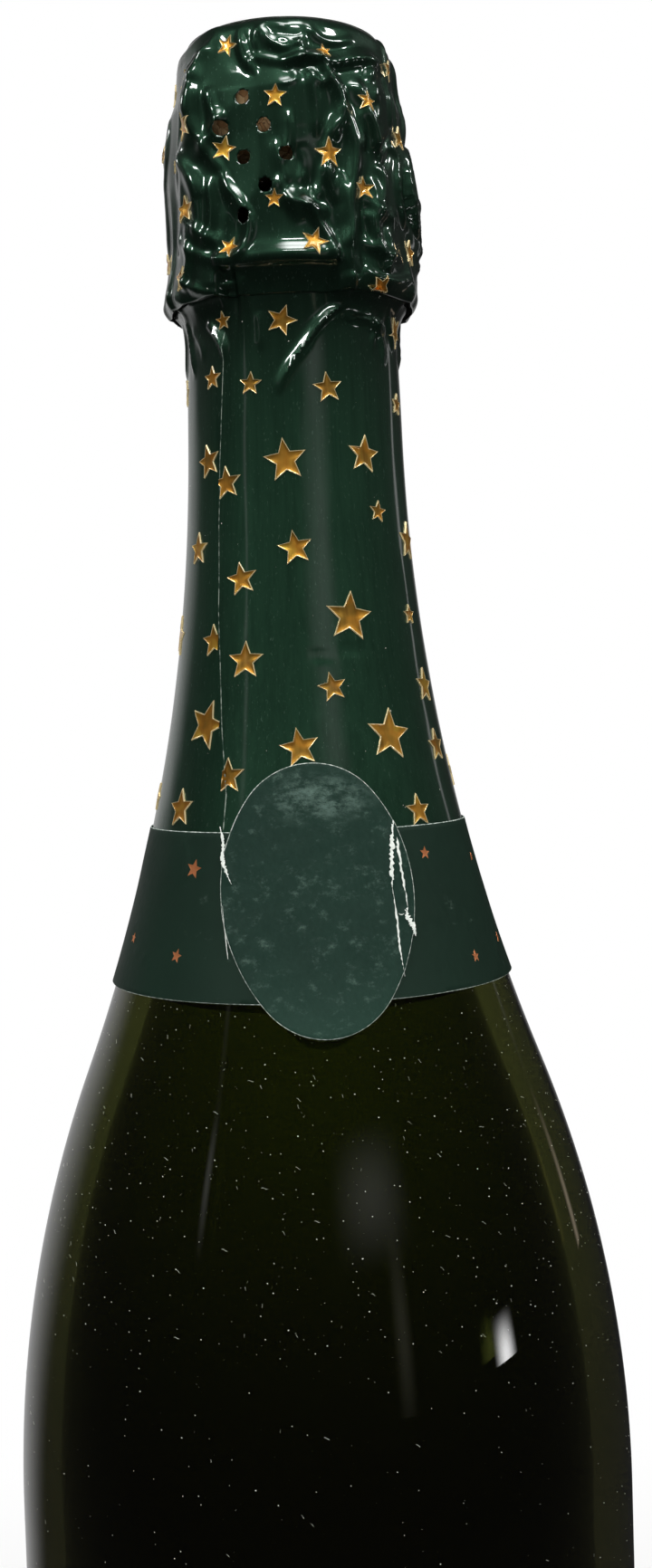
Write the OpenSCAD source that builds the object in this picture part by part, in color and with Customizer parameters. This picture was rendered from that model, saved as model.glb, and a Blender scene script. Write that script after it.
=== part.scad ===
// Sparkling wine bottle of 75 cl, dressed and unopened: glass, wine, three-piece stopper,
// wire cage with its cap, foil capsule, neck band and oval seal.
// Millimetres, +Z up. The origin is the middle of the ring that the bottle stands on.

/* [Glass body] */
// Height of the glass, from its foot to its mouth
bottle_h = 300; // [294:1:306]
// Outer diameter of the straight body
body_d = 88.5; // [84:0.5:92]
// Height at which the straight wall ends and the shoulder begins
body_h = 115.5; // [106:0.5:122]
// Radius of the convex shoulder arc
shoulder_r = 170; // [150:1:190]
// Radius of the concave arc between shoulder and neck
neck_blend_r = 265; // [240:1:290]
// Diameter of the neck right under the locking ring
neck_d = 29.1; // [28:0.1:30]
// Slope of the neck wall, in degrees from the vertical
neck_taper = 1.4; // [0.6:0.1:2]
// Wall thickness of the straight body
body_wall = 5.4; // [4.6:0.1:5.8]
// Inner diameter of the neck, at the height of the locking ring
neck_inner_d = 18.8; // [18.2:0.1:20]

/* [Foot] */
// Radius of the rounded heel
heel_r = 7; // [5:0.5:9]
// Width of the flat ring that the bottle stands on
bearing_w = 4; // [3:0.5:5]
// Depth of the punt, the hollow under the bottle
punt_h = 37; // [32:0.5:40]
// Radius of the punt's round tip
punt_tip_r = 12; // [9:0.5:15]
// Radius of the rim between punt and standing ring
punt_lip_r = 3; // [2:0.5:4]
// Thickness of the glass over the punt
punt_wall = 8.5; // [7:0.5:10]
// Radius of the trough inside, round the foot of the punt
trough_r = 6.5; // [5:0.5:8]
// Thickness of the glass under the trough
foot_wall = 7.5; // [6:0.5:9]

/* [Mouth] */
// Diameter of the straight bore that grips the stopper
bore_d = 17.6; // [17:0.1:18]
// Depth of the straight bore
bore_h = 29; // [27:0.5:31]
// Outer diameter of the lip
lip_d = 28.8; // [27.6:0.1:29.4]
// Height of the lip
lip_h = 4.4; // [3.6:0.1:5]
// Diameter of the groove between lip and locking ring
groove_d = 26.6; // [25.6:0.1:27.4]
// Diameter of the locking ring, which the wire cage holds on to
ring_d = 31; // [30.6:0.1:31.4]
// Height of the locking ring
ring_h = 6.6; // [5.6:0.1:7]
// Distance from the mouth down to the underside of the locking ring
ring_drop = 14; // [13:0.1:15]
// Rounding of the lip
lip_round = 1.8; // [1:0.1:2]
// Rounding of the locking ring
ring_round = 0.9; // [0.5:0.1:1.4]
// Rounding of the bore's edge
bore_round = 1.2; // [0.8:0.1:1.6]

/* [Wine] */
// Distance from the mouth down to the wine
ullage = 76; // [66:0.5:86]

/* [Stopper] */
// Length of stopper inside the bore
stopper_depth = 25; // [23:0.5:27]
// Height of the stopper's head over the mouth
stopper_head_h = 18.4; // [17:0.1:19]
// Thickness of each natural cork disc
disc_h = 6; // [4:0.5:7]
// Rounding of the head's lower edge
head_low_r = 3.4; // [2.5:0.1:4]
// Radius of the hollow between shaft and head
head_flare_r = 3.2; // [2.4:0.1:3.6]

/* [Wire cage] */
// Diameter of the wire
wire_d = 0.8; // [0.7:0.02:0.84]
// Full turns of twist in each leg
leg_turns = 5; // [3:1:6]
// Radius of the bend that carries each leg over the head
leg_bend_r = 9; // [8:0.1:10]
// Distance from the locking ring's underside down to the belt's middle
belt_drop = 0.8; // [0.7:0.05:1]
// Radius of the eye at each leg's end, to the middle of the wire
eye_r = 0.86; // [0.84:0.01:0.92]
// Half turns of twist in the tab's stem
stem_half_turns = 3; // [1:1:5]
// Length of the tab's twisted stem
stem_h = 7; // [5:0.5:8]
// Width of the tab's loop, to the middle of the wire
tab_w = 9; // [6:0.5:10]
// Height of the tab's loop, to the middle of the wire
tab_h = 13; // [9:0.5:14]
// How far the tab bows out from the legs' circle
tab_bow = 1.7; // [1:0.1:2]

/* [Cap] */
// Diameter of the cap, over its turned-down edge
cap_d = 29; // [28:0.1:29.4]
// Diameter of the raised middle, which the cage's top ring lies round
plateau_d = 25; // [24.4:0.1:25.4]
// Height of the raised middle over the brim
plateau_h = 1.1; // [1:0.05:1.3]
// Height of the turned-down edge
cap_edge_h = 1.5; // [1.2:0.1:2]
// Thickness of the cap's sheet
cap_t = 0.3; // [0.2:0.05:0.4]
// Radius of the notches in the brim, where the legs pass
notch_r = 2.2; // [2:0.1:2.4]

/* [Foil] */
// Thickness of the foil
foil_t = 0.2; // [0.12:0.02:0.24]
// Diameter of the hood at its rim
hood_rim_d = 37.6; // [37.4:0.1:38.4]
// Diameter of the hood where its side turns in
hood_turn_d = 36.2; // [36.1:0.1:36.8]
// Height of the hood's sloping shoulder
hood_shoulder_h = 9.4; // [8.4:0.1:10.4]
// Diameter of the hood's flat top
hood_top_d = 31.4; // [31:0.1:32]
// Rounding of the hood's top edge
hood_edge_r = 0.9; // [0.6:0.1:1.2]
// Width of the hood's turned-in top edge
hood_shelf_w = 3; // [2:0.5:4]
// Radius of the bulge over the cage's tab
bulge_r = 9; // [8.5:0.1:9.5]
// Height over which the sleeve flares out to meet the hood
flare_h = 4.6; // [4:0.1:5.4]
// Width of the sleeve's glued overlap
overlap_w = 9; // [6:0.5:12]
// Diameter of the punched vents
vent_d = 2; // [1.4:0.1:2.4]

/* [Paper] */
// Thickness of the paper
paper_t = 0.12; // [0.08:0.01:0.16]
// Height of the neck band's lower edge
band_z = 189.5; // [180:0.5:192]
// Height of the neck band, from edge to edge
band_h = 22; // [18:0.5:26]
// Gap between the band's ends, at the back
band_gap = 1.5; // [0.5:0.5:6]
// Width of the oval seal, seen from the front
seal_w = 25.8; // [22:0.2:28]
// Height of the oval seal, seen from the front
seal_h = 35.4; // [32:0.2:38]
// Radius of the seal's round ends
seal_end_r = 10.4; // [8:0.2:11.4]
// Height of the seal's middle
seal_z = 202.8; // [198:0.2:207]
// Turn of the seal's middle round the neck, in degrees
seal_turn = 2.8; // [-6:0.2:6]
// Lean of the seal, in degrees
seal_lean = 3; // [-5:0.5:5]

/* [Hidden] */
$fn = 96;
// Spacing of the points along the shoulder and the neck
level_step = 3;
// Degrees between the points of a small arc
arc_step = 7.5;

// Overrun of every cut, so that no cut ends flush with a face
overrun = 1;
// Clearance between a stopper and the bore that grips it
bore_clearance = 0.08;
// Clearance between pieces that come apart
lift_clearance = 0.28;
// Layer of glue or film between pieces that lie on each other
film = 0.05;
// Gap between the two strands of a twisted pair
strand_gap = 0.06;

// Glass
body_r = body_d / 2;
neck_r = neck_d / 2;
ring_low_z = bottle_h - ring_drop;
ring_high_z = ring_low_z + ring_h;
lip_low_z = bottle_h - lip_h;
neck_inner_r = neck_inner_d / 2;
neck_wall = neck_r - neck_inner_r;
bore_r = bore_d / 2;
bore_low_z = bottle_h - bore_h;
ring_r = ring_d / 2;
// Least length of straight neck that is left under the locking ring
neck_straight_h = 10;
blend_rise = ring_low_z - neck_straight_h - body_h;
blend_reach = shoulder_r - body_r + neck_r + neck_straight_h * tan(neck_taper);
// Largest radius of the neck's blend that ends below that straight length
blend_limit_r = (pow(blend_rise, 2) + pow(blend_reach, 2) - pow(shoulder_r, 2))
    / (2 * (shoulder_r - blend_rise * sin(neck_taper) - blend_reach * cos(neck_taper)));
blend_r = min(neck_blend_r, blend_limit_r);

// Foot: the round tip of the punt and the rim that it runs into
punt_tip = [0, punt_h - punt_tip_r];
bearing_out_r = body_r - heel_r;
bearing_in_r = bearing_out_r - bearing_w;
punt_lip = [bearing_in_r, punt_lip_r];

// Heights in the neck
wine_z = bottle_h - ullage;
stopper_low_z = bottle_h - stopper_depth;
head_low_z = bottle_h + lift_clearance + head_flare_r;
head_top_z = bottle_h + stopper_head_h;

// Wire cage: the twisted pair, and where the legs run
wire_r = wire_d / 2;
strand_r = (wire_d + strand_gap) / 2;
pair_r = strand_r + wire_r;
leg_r = ring_r + lift_clearance + pair_r;
head_r = leg_r - pair_r - lift_clearance;
leg_bend_x = leg_r - leg_bend_r;
leg_bend_z = head_top_z - (leg_bend_r - pair_r - lift_clearance);
belt_z = ring_low_z - belt_drop;
belt_r = neck_r + film + wire_r;
eye_x = ring_r + lift_clearance + eye_r + wire_r;

// Cap
cap_r = cap_d / 2;
plateau_r = plateau_d / 2;
crown_r = plateau_r - cap_t - lift_clearance;
brim_z = head_top_z + lift_clearance;
cap_top_z = brim_z + cap_t + plateau_h;
crown_z = cap_top_z - cap_t - lift_clearance;
top_ring_r = plateau_r + film + wire_r;
top_ring_z = brim_z + cap_t + 2 * film + wire_r;

// Foil
hood_rim_r = hood_rim_d / 2;
hood_turn_r = hood_turn_d / 2;
hood_top_r = hood_top_d / 2;
hood_low_z = belt_z - eye_r - wire_r - lift_clearance;
hood_top_z = cap_top_z + lift_clearance + foil_t;
hood_turn_z = hood_top_z - hood_shoulder_h;
top_disc_r = hood_top_r - hood_edge_r;
// How far the band reaches down past the foil's edge
sleeve_lap = 2;
sleeve_low_z = band_z + sleeve_lap;
sleeve_in = film;
sleeve_out = sleeve_in + foil_t;
band_in = sleeve_out + foil_t + film;
band_out = band_in + paper_t;
seal_in = band_out + film;
seal_out = seal_in + paper_t;

// Angle, seen from the middle of the convex arc, at which it meets the concave one
function meeting_angle(wall_r, arc_r, hollow_r, top_r, top_z) =
    neck_taper + acos((hollow_r - (wall_r - arc_r - top_r) * cos(neck_taper)
                       - (body_h - top_z) * sin(neck_taper)) / (arc_r + hollow_r));

// Radius at a height of a bottle's wall: straight, convex shoulder, concave blend, tapered neck
function wall_radius(z, wall_r, arc_r, hollow_r, top_r) =
    let (angle = meeting_angle(wall_r, arc_r, hollow_r, top_r, ring_low_z),
         arc_mid = [wall_r - arc_r, body_h],
         blend_mid = arc_mid + toward(angle, arc_r + hollow_r))
    z <= body_h ? wall_r
    : z <= body_h + arc_r * sin(angle) ? arc_mid.x + sqrt(pow(arc_r, 2) - pow(z - arc_mid.y, 2))
    : z <= blend_mid.y - hollow_r * sin(neck_taper) ? blend_mid.x - sqrt(pow(hollow_r, 2) - pow(z - blend_mid.y, 2))
    : top_r + (ring_low_z - z) * tan(neck_taper);

// The outside of the glass, grown outward for what lies on it
function glass_radius(z, grow = 0) =
    wall_radius(z, body_r + grow, shoulder_r + grow, blend_r - grow, neck_r + grow / cos(neck_taper));

// The inside of the glass, shrunk inward for what lies in it
function cavity_radius(z, shrink = 0) =
    wall_radius(z, body_r - body_wall - shrink, shoulder_r - body_wall - shrink,
                blend_r + neck_wall + shrink, neck_inner_r - shrink / cos(neck_taper));

function toward(angle, length) = length * [cos(angle), sin(angle)];

// Direction of the line that parts two circles, touching one on each side
function parting_angle(a, a_r, b, b_r) =
    atan2(b.y - a.y, b.x - a.x) + acos((a_r + b_r) / norm(b - a));

// Heights from one level to another, both included
function levels(low_z, high_z) = let (count = ceil((high_z - low_z) / level_step))
    [for (i = [0 : count]) low_z + (high_z - low_z) * i / count];

// Points of an arc, both ends included
function arc(mid, r, from, to) = let (count = ceil(abs(to - from) / arc_step))
    [for (i = [0 : count]) mid + toward(from + (to - from) * i / count, r)];

function reversed(list) = [for (i = [len(list) - 1 : -1 : 0]) list[i]];
function glass_points(low_z, high_z, grow = 0) =
    [for (z = levels(low_z, high_z)) [glass_radius(z, grow), z]];
function cavity_points(high_z, shrink = 0) =
    [for (z = levels(body_h, high_z)) [cavity_radius(z, shrink), z]];

// A skin that follows the outside of the glass
module skin_section(inner, outer, low_z, high_z) {
    polygon(concat(glass_points(low_z, high_z, outer), reversed(glass_points(low_z, high_z, inner))));
}

// The rounded outer edge of a band, from its lower face to its upper one
function rounded_edge(out_r, low_z, high_z, round_r) =
    concat(arc([out_r - round_r, low_z + round_r], round_r, -90, 0),
           arc([out_r - round_r, high_z - round_r], round_r, 0, 90));

// The hollow under the bottle, from its tip to the standing ring: round tip, cone, rounded rim
function punt_points() = let (angle = parting_angle(punt_tip, punt_tip_r, punt_lip, punt_lip_r))
    concat(arc(punt_tip, punt_tip_r, 90, angle), arc(punt_lip, punt_lip_r, angle + 180, 270));

// The floor of the inside, from its top in the middle out to the wall: dome, cone and trough
function floor_points(shrink = 0) =
    let (dome_r = punt_tip_r + punt_wall + shrink,
         hollow_r = trough_r - shrink,
         trough = [body_r - body_wall - trough_r, foot_wall + trough_r],
         angle = parting_angle(punt_tip, dome_r, trough, hollow_r))
    concat(arc(punt_tip, dome_r, 90, angle), arc(trough, hollow_r, angle - 180, 0));

// The mouth, from the neck's outside over the ring, groove and lip and down the bore
function mouth_points() =
    let (below_r = cavity_radius(bore_low_z))
    concat(rounded_edge(ring_r, ring_low_z, ring_high_z, ring_round),
           [[groove_d / 2, ring_high_z], [groove_d / 2, lip_low_z]],
           rounded_edge(lip_d / 2, lip_low_z, bottle_h, lip_round),
           arc([bore_r + bore_round, bottle_h - bore_round], bore_round, 90, 180),
           [[bore_r, bore_low_z + below_r - bore_r]]);

module glass_bottle() {
    color("darkgreen")
    rotate_extrude()
    polygon(concat(punt_points(),
                   arc([bearing_out_r, heel_r], heel_r, -90, 0),
                   glass_points(body_h, ring_low_z),
                   mouth_points(),
                   reversed(cavity_points(bore_low_z)),
                   reversed(floor_points())));
}

module wine() {
    color("darkgoldenrod")
    rotate_extrude() polygon(concat(floor_points(film), cavity_points(wine_z, film), [[0, wine_z]]));
}

// The natural cork discs and the foot of the body share the bore's radius
module stopper_disc(low_z) {
    color("burlywood")
    translate([0, 0, low_z]) cylinder(r = bore_r - bore_clearance, h = disc_h);
}

module cork_body() {
    shaft_r = bore_r - bore_clearance;
    low_z = stopper_low_z + 2 * disc_h;
    bend_r = leg_bend_r - pair_r - lift_clearance;
    color("tan")
    rotate_extrude()
    polygon(concat([[0, low_z], [shaft_r, low_z]],
                   arc([shaft_r + head_flare_r, head_low_z - head_flare_r], head_flare_r, 180, 90),
                   arc([head_r - head_low_r, head_low_z + head_low_r], head_low_r, -90, 0),
                   arc([leg_bend_x, leg_bend_z], bend_r, 0, acos((crown_r - leg_bend_x) / bend_r)),
                   arc([crown_r - cap_t, crown_z - cap_t], cap_t, 0, 90),
                   [[0, crown_z]]));
}

// Wire: points of a path become a closed tube
function unit(v) = v / norm(v);
function around(azimuth, r, z) = [r * cos(azimuth), r * sin(azimuth), z];
function headings(path) = let (n = len(path))
    [for (i = [0 : n - 1]) unit(path[(i + 1) % n] - path[(i + n - 1) % n])];
function carried(normal, heading) = unit(normal - (normal * heading) * heading);
function turned(normal, heading, angle) = cos(angle) * normal + sin(angle) * cross(heading, normal);
function carried_normals(ways) = let (first = carried([0, 0, 1], ways[0]))
    [for (i = 0, n = first; i < len(ways);
          n = i + 1 < len(ways) ? carried(n, ways[i + 1]) : n, i = i + 1) n];
function closing_angle(normals, ways) = let (last = carried(normals[len(normals) - 1], ways[0]))
    atan2(cross(last, normals[0]) * ways[0], last * normals[0]);

module closed_wire(path, r, sides = 6) {
    count = len(path);
    ways = headings(path);
    normals = carried_normals(ways);
    closing = closing_angle(normals, ways);
    points = [for (i = [0 : count - 1])
              let (n = turned(normals[i], ways[i], closing * i / count), b = cross(ways[i], n))
              for (k = [0 : sides - 1])
                  path[i] + r * (cos(360 * k / sides) * n + sin(360 * k / sides) * b)];
    faces = [for (i = [0 : count - 1]) for (k = [0 : sides - 1])
             let (a = i * sides + k, b = i * sides + (k + 1) % sides,
                  c = ((i + 1) % count) * sides + k, d = ((i + 1) % count) * sides + (k + 1) % sides)
             each [[a, c, b], [b, c, d]]];
    polyhedron(points = points, faces = faces);
}

// Places along a leg, by the distance from its foot: straight, then bent over the head
leg_low_z = belt_z + eye_r * sqrt(1 - pow(strand_r / eye_r, 2));
leg_straight = leg_bend_z - leg_low_z;
leg_end_x = top_ring_r + wire_d;
leg_end_angle = acos((leg_end_x - leg_bend_x) / leg_bend_r);
leg_length = leg_straight + leg_bend_r * leg_end_angle * PI / 180;
leg_lean_h = 4 * wire_d;
leg_steps = 10 * leg_turns + 2;
leg_azimuths = [45, 135, 225, 315];

function leg_bend(u) = u < leg_straight ? 0 : (u - leg_straight) / leg_bend_r * 180 / PI;
function leg_lean(u) = (eye_x - leg_r) * pow(max(0, 1 - u / leg_lean_h), 2) * (1 + 2 * u / leg_lean_h);
function leg_middle(azimuth, u) = u < leg_straight
    ? around(azimuth, leg_r + leg_lean(u), leg_low_z + u)
    : around(azimuth, leg_bend_x + leg_bend_r * cos(leg_bend(u)), leg_bend_z + leg_bend_r * sin(leg_bend(u)));
function leg_strand(azimuth, u, side) =
    let (twist = (360 * leg_turns + 90) * u / leg_length,
         outward = around(azimuth, cos(leg_bend(u)), sin(leg_bend(u))),
         sideways = around(azimuth + 90, 1, 0))
    leg_middle(azimuth, u) + side * strand_r * (cos(twist) * outward + sin(twist) * sideways);

eye_start = acos(strand_r / eye_r);
function leg_eye(azimuth) = let (steps = 9, sweep = 180 + 2 * eye_start)
    [for (i = [1 : steps - 1]) let (b = 180 - eye_start + sweep * i / steps)
     around(azimuth, eye_x + eye_r * cos(b), belt_z + eye_r * sin(b))];

function bend_between(a, corner, b, steps) =
    [for (i = [1 : steps - 1]) let (t = i / steps)
     pow(1 - t, 2) * a + 2 * t * (1 - t) * corner + pow(t, 2) * b];

// Angle of the top ring that each bend out of a leg takes
ring_bend = 360 * wire_d / (PI * top_ring_r);
function ring_arc(azimuth) = let (steps = 9, start = azimuth + ring_bend, sweep = 90 - 2 * ring_bend)
    [for (i = [0 : steps]) around(start + sweep * i / steps, top_ring_r, top_ring_z)];

function frame_leg(azimuth) =
    let (down_top = leg_strand(azimuth, leg_length, -1), up_top = leg_strand(azimuth, leg_length, 1),
         side = 180 * strand_r / (PI * top_ring_r),
         arc = ring_arc(azimuth), last_arc = ring_arc(azimuth - 90))
    concat(
        bend_between(last_arc[len(last_arc) - 1], around(azimuth - side, top_ring_r, top_ring_z), down_top, 4),
        [for (i = [leg_steps : -1 : 0]) leg_strand(azimuth, leg_length * i / leg_steps, -1)],
        leg_eye(azimuth),
        [for (i = [0 : leg_steps]) leg_strand(azimuth, leg_length * i / leg_steps, 1)],
        bend_between(up_top, around(azimuth + side, top_ring_r, top_ring_z), arc[0], 4),
        arc);

module cage_frame() {
    color("silver")
    closed_wire([for (azimuth = leg_azimuths) each frame_leg(azimuth)], wire_r);
}

// The belt: pulled tight against the neck between the eyes, with its tab folded up at the side
tight_angle = acos(belt_r / eye_x);
// Angle either side of the tab at which the belt leaves the neck
belt_mouth = 9;
stem_low_z = belt_z + pair_r + wire_r;
tab_top_z = stem_low_z + stem_h + tab_h;
tab_mid_z = tab_top_z - tab_h / 2;

function tab_r(z) = leg_r + tab_bow * sin(180 * max(0, z - stem_low_z) / (tab_top_z - stem_low_z));
function belt_bulge(azimuth) =
    max([for (leg = leg_azimuths) let (off = abs(azimuth - leg))
         off < tight_angle ? pow(cos(90 * off / tight_angle), 2) : 0]);
function belt_arc() = let (steps = 72)
    [for (i = [0 : steps]) let (azimuth = belt_mouth + (360 - 2 * belt_mouth) * i / steps)
     around(azimuth, belt_r + (eye_x - belt_r) * belt_bulge(azimuth), belt_z)];
function stem_point(u, side) =
    let (twist = 90 + 180 * stem_half_turns * u, z = stem_low_z + stem_h * u)
    [tab_r(z) + side * strand_r * cos(twist), side * strand_r * sin(twist), z];
function tab_loop() = let (steps = 20, start = asin(strand_r / (tab_w / 2)))
    [for (i = [1 : steps - 1])
     let (b = -90 + start + (360 - 2 * start) * i / steps, z = tab_mid_z + tab_h / 2 * sin(b))
     around(180 * tab_w / 2 * cos(b) / (PI * tab_r(z)), tab_r(z), z)];
function belt_turn(side) =
    let (start = around(side * belt_mouth, belt_r, belt_z), out = [leg_r, side * strand_r, belt_z],
         mid = [(belt_r + leg_r) / 2, side * strand_r, belt_z])
    concat(bend_between(start, [belt_r, side * strand_r, belt_z], mid, 4), [mid],
           bend_between(mid, out, stem_point(0, side), 4));

module cage_belt() {
    stem_steps = 6 * stem_half_turns;
    // An odd number of half turns brings each strand up on the other side
    last_side = stem_half_turns % 2 == 0 ? 1 : -1;
    loop = last_side > 0 ? tab_loop() : reversed(tab_loop());
    color("lightsteelblue")
    closed_wire(concat(
        reversed(belt_arc()),
        belt_turn(1),
        [for (i = [0 : stem_steps]) stem_point(i / stem_steps, 1)],
        loop,
        [for (i = [stem_steps : -1 : 0]) stem_point(i / stem_steps, -1)],
        reversed(belt_turn(-1))), wire_r);
}

module cage_cap() {
    color("gold")
    difference() {
        rotate_extrude() {
            translate([0, cap_top_z - cap_t]) square([plateau_r, cap_t]);
            translate([plateau_r - cap_t, brim_z]) square([cap_t, cap_t + plateau_h]);
            translate([plateau_r - cap_t, brim_z]) square([cap_r - plateau_r + cap_t, cap_t]);
            translate([cap_r - cap_t, brim_z + cap_t - cap_edge_h]) square([cap_t, cap_edge_h]);
        }
        for (azimuth = leg_azimuths)
            rotate([0, 0, azimuth]) translate([plateau_r + notch_r, 0, brim_z - cap_edge_h])
                cylinder(r = notch_r, h = cap_edge_h + 2 * cap_t);
    }
}

// Vents are punched in a slanting lattice: columns and rows counted from its middle
vent_pitch_azimuth = 9.9;
vent_pitch_z = 4;
vent_mid_azimuth = 250.2;
// Height of the lattice's middle over the mouth
vent_rise = 1.6;
vent_cells = [[0, 2], [-1, 1], [1, 1], [0, 0], [2, 0], [1, -1], [0, -2]];
vent_groups = 2;

module vents() {
    for (group = [0 : vent_groups - 1], cell = vent_cells)
        rotate([0, 0, vent_mid_azimuth + vent_pitch_azimuth * cell.x + 360 * group / vent_groups])
        translate([0, 0, bottle_h + vent_rise + vent_pitch_z * cell.y])
        rotate([0, 90, 0]) cylinder(d = vent_d, h = hood_rim_r + overrun, $fn = 32);
}

// Half outline of the hood: leaning side, sloping shoulder and flat top, drawn in by a wall if asked
module hood_outline(inset, low_z) {
    polygon(concat([[0, low_z], [hood_rim_r - inset, low_z], [hood_rim_r - inset, hood_low_z],
                    [hood_turn_r - inset, hood_turn_z]],
                   arc([hood_top_r - hood_edge_r, hood_top_z - hood_edge_r], hood_edge_r - inset, 0, 90),
                   [[0, hood_top_z - inset]]));
}

// The bulge over the cage's tab is an upright rounded post that joins the hood's side. Its middle
// lies where the post clears the tab's stem in front and the tab's loop at both sides
tab_peak_r = leg_r + tab_bow;
tab_half_angle = 90 * tab_w / (PI * tab_peak_r);
bulge_room_r = bulge_r - foil_t - lift_clearance - wire_r;
bulge_x = max(tab_peak_r + strand_r - bulge_room_r,
              tab_peak_r * cos(tab_half_angle)
              - sqrt(pow(bulge_room_r, 2) - pow(tab_peak_r * sin(tab_half_angle), 2)));

module hood_form(inset, low_z) {
    rotate_extrude() hood_outline(inset, low_z);
    translate([bulge_x, 0, low_z]) cylinder(r = bulge_r - inset, h = tab_top_z - low_z);
    translate([bulge_x, 0, tab_top_z]) sphere(r = bulge_r - inset);
}

module foil_hood() {
    color("darkgreen")
    difference() {
        hood_form(0, hood_low_z);
        hood_form(foil_t, hood_low_z - overrun);
        cylinder(r = top_disc_r - hood_shelf_w, h = hood_top_z + overrun);
        vents();
    }
}

module foil_top_disc() {
    color("seagreen")
    translate([0, 0, hood_top_z + film]) cylinder(r = top_disc_r, h = foil_t);
}

// The sleeve follows the neck, then flares in an arc that ends under the hood's rim
flare_z = hood_low_z - flare_h;
flare_start = [glass_radius(flare_z, sleeve_out), flare_z];
flare_end = [hood_rim_r - foil_t, hood_low_z - film - foil_t];
flare_chord = flare_end - flare_start;
flare_r = flare_chord * flare_chord / (2 * flare_chord * toward(neck_taper, 1));
flare_mid = flare_start + toward(neck_taper, flare_r);
flare_stop = 180 + atan2(flare_mid.y - flare_end.y, flare_mid.x - flare_end.x);

module sleeve_outline() {
    polygon(concat(glass_points(sleeve_low_z, flare_z, sleeve_out),
                   arc(flare_mid, flare_r, 180 + neck_taper, flare_stop),
                   arc(flare_mid, flare_r + foil_t, flare_stop, 180 + neck_taper),
                   reversed(glass_points(sleeve_low_z, flare_z, sleeve_in))));
}

// Azimuth of the seam's open edge, and how far the second layer runs from it
seam_azimuth = 228;
overlap_angle = 180 * overlap_w / (PI * neck_r);

module foil_sleeve() {
    color("darkgreen") {
        rotate_extrude() sleeve_outline();
        rotate([0, 0, seam_azimuth]) rotate_extrude(angle = overlap_angle)
            skin_section(sleeve_out - foil_t / 2, sleeve_out + foil_t, sleeve_low_z, flare_z);
    }
}

// Direction that the seal faces, measured from +X
front_azimuth = 270 + seal_turn;

module neck_band() {
    gap_angle = 180 * band_gap / (PI * glass_radius(band_z));
    color("darkslategray")
    rotate([0, 0, 90 + gap_angle / 2]) rotate_extrude(angle = 360 - gap_angle)
        skin_section(band_in, band_out, band_z, band_z + band_h);
}

// Oval of four arcs: two round ends and two flatter sides that touch them
module oval(width, height, end_r) {
    end_y = height / 2 - end_r;
    reach = width / 2 - end_r;
    side_x = (pow(end_y, 2) - pow(reach, 2)) / (2 * reach);
    side_r = width / 2 + side_x;
    touch_y = side_r * end_y / norm([side_x, end_y]);
    intersection() {
        translate([-side_x, 0]) circle(r = side_r);
        translate([side_x, 0]) circle(r = side_r);
        square([width, 2 * touch_y], center = true);
    }
    for (way = [-1, 1]) intersection() {
        translate([0, way * end_y]) circle(r = end_r);
        translate([0, way * (touch_y + end_r)]) square([width, 2 * end_r], center = true);
    }
}

module seal_sticker() {
    low_z = seal_z - seal_h / 2;
    color("darkslategray")
    intersection() {
        rotate_extrude() skin_section(seal_in, seal_out, low_z - overrun, low_z + seal_h + overrun);
        rotate([0, 0, front_azimuth - 270]) translate([0, 0, seal_z]) rotate([90, 0, 0])
            rotate([0, 0, seal_lean]) linear_extrude(height = body_r) oval(seal_w, seal_h, seal_end_r);
    }
}

glass_bottle();
wine();
cork_body();
stopper_disc(stopper_low_z + disc_h);  // cork_disc_upper
stopper_disc(stopper_low_z);  // cork_disc_lower
cage_frame();
cage_belt();
cage_cap();
foil_hood();
foil_top_disc();
foil_sleeve();
neck_band();
seal_sticker();
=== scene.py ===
# %% [markdown]
# # A dressed bottle of sparkling wine
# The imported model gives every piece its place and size: glass, wine, stopper, wire cage, foil and paper.
# This notebook gives those pieces their looks. Each step says what the piece is on the real bottle, how
# it could be made in Blender, and why it is made the way it is.

# %% Frame
import math
import random

import bmesh
import bpy
import numpy as np
from mathutils import Matrix, Vector
from mathutils.bvhtree import BVHTree


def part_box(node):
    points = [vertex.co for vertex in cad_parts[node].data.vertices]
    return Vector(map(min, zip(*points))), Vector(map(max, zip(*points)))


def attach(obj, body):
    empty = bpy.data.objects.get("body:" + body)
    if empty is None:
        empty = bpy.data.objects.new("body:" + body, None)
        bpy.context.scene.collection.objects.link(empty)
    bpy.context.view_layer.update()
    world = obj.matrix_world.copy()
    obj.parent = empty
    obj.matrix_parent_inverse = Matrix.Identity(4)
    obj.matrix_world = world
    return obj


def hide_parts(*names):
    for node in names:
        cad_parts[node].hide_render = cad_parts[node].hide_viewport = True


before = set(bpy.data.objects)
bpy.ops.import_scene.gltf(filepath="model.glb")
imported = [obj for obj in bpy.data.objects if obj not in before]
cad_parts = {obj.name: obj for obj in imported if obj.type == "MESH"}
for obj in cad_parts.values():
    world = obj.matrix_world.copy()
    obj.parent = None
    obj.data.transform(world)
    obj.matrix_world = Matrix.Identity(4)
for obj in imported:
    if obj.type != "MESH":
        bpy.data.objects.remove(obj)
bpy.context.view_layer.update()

MM = 0.001
print("nodes:", ", ".join(sorted(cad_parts)))

# %% [markdown]
# ## The photograph's camera
# A camera could be moved until the outline looks right. Here the bottle's own outline gave the distance,
# the height and the three turns of the camera, which are set below as numbers. Its three axes are kept as
# vectors, because later steps send rays through single pixels of the photograph to find places on the bottle.

# %% Camera
PHOTO_W, PHOTO_H = 720, 1732
camera_at = Vector((0, -256.8, 228)) * MM
focal_px = 1963
yaw, pitch, roll = 0.0111, 0.0441, -0.0314

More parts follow.
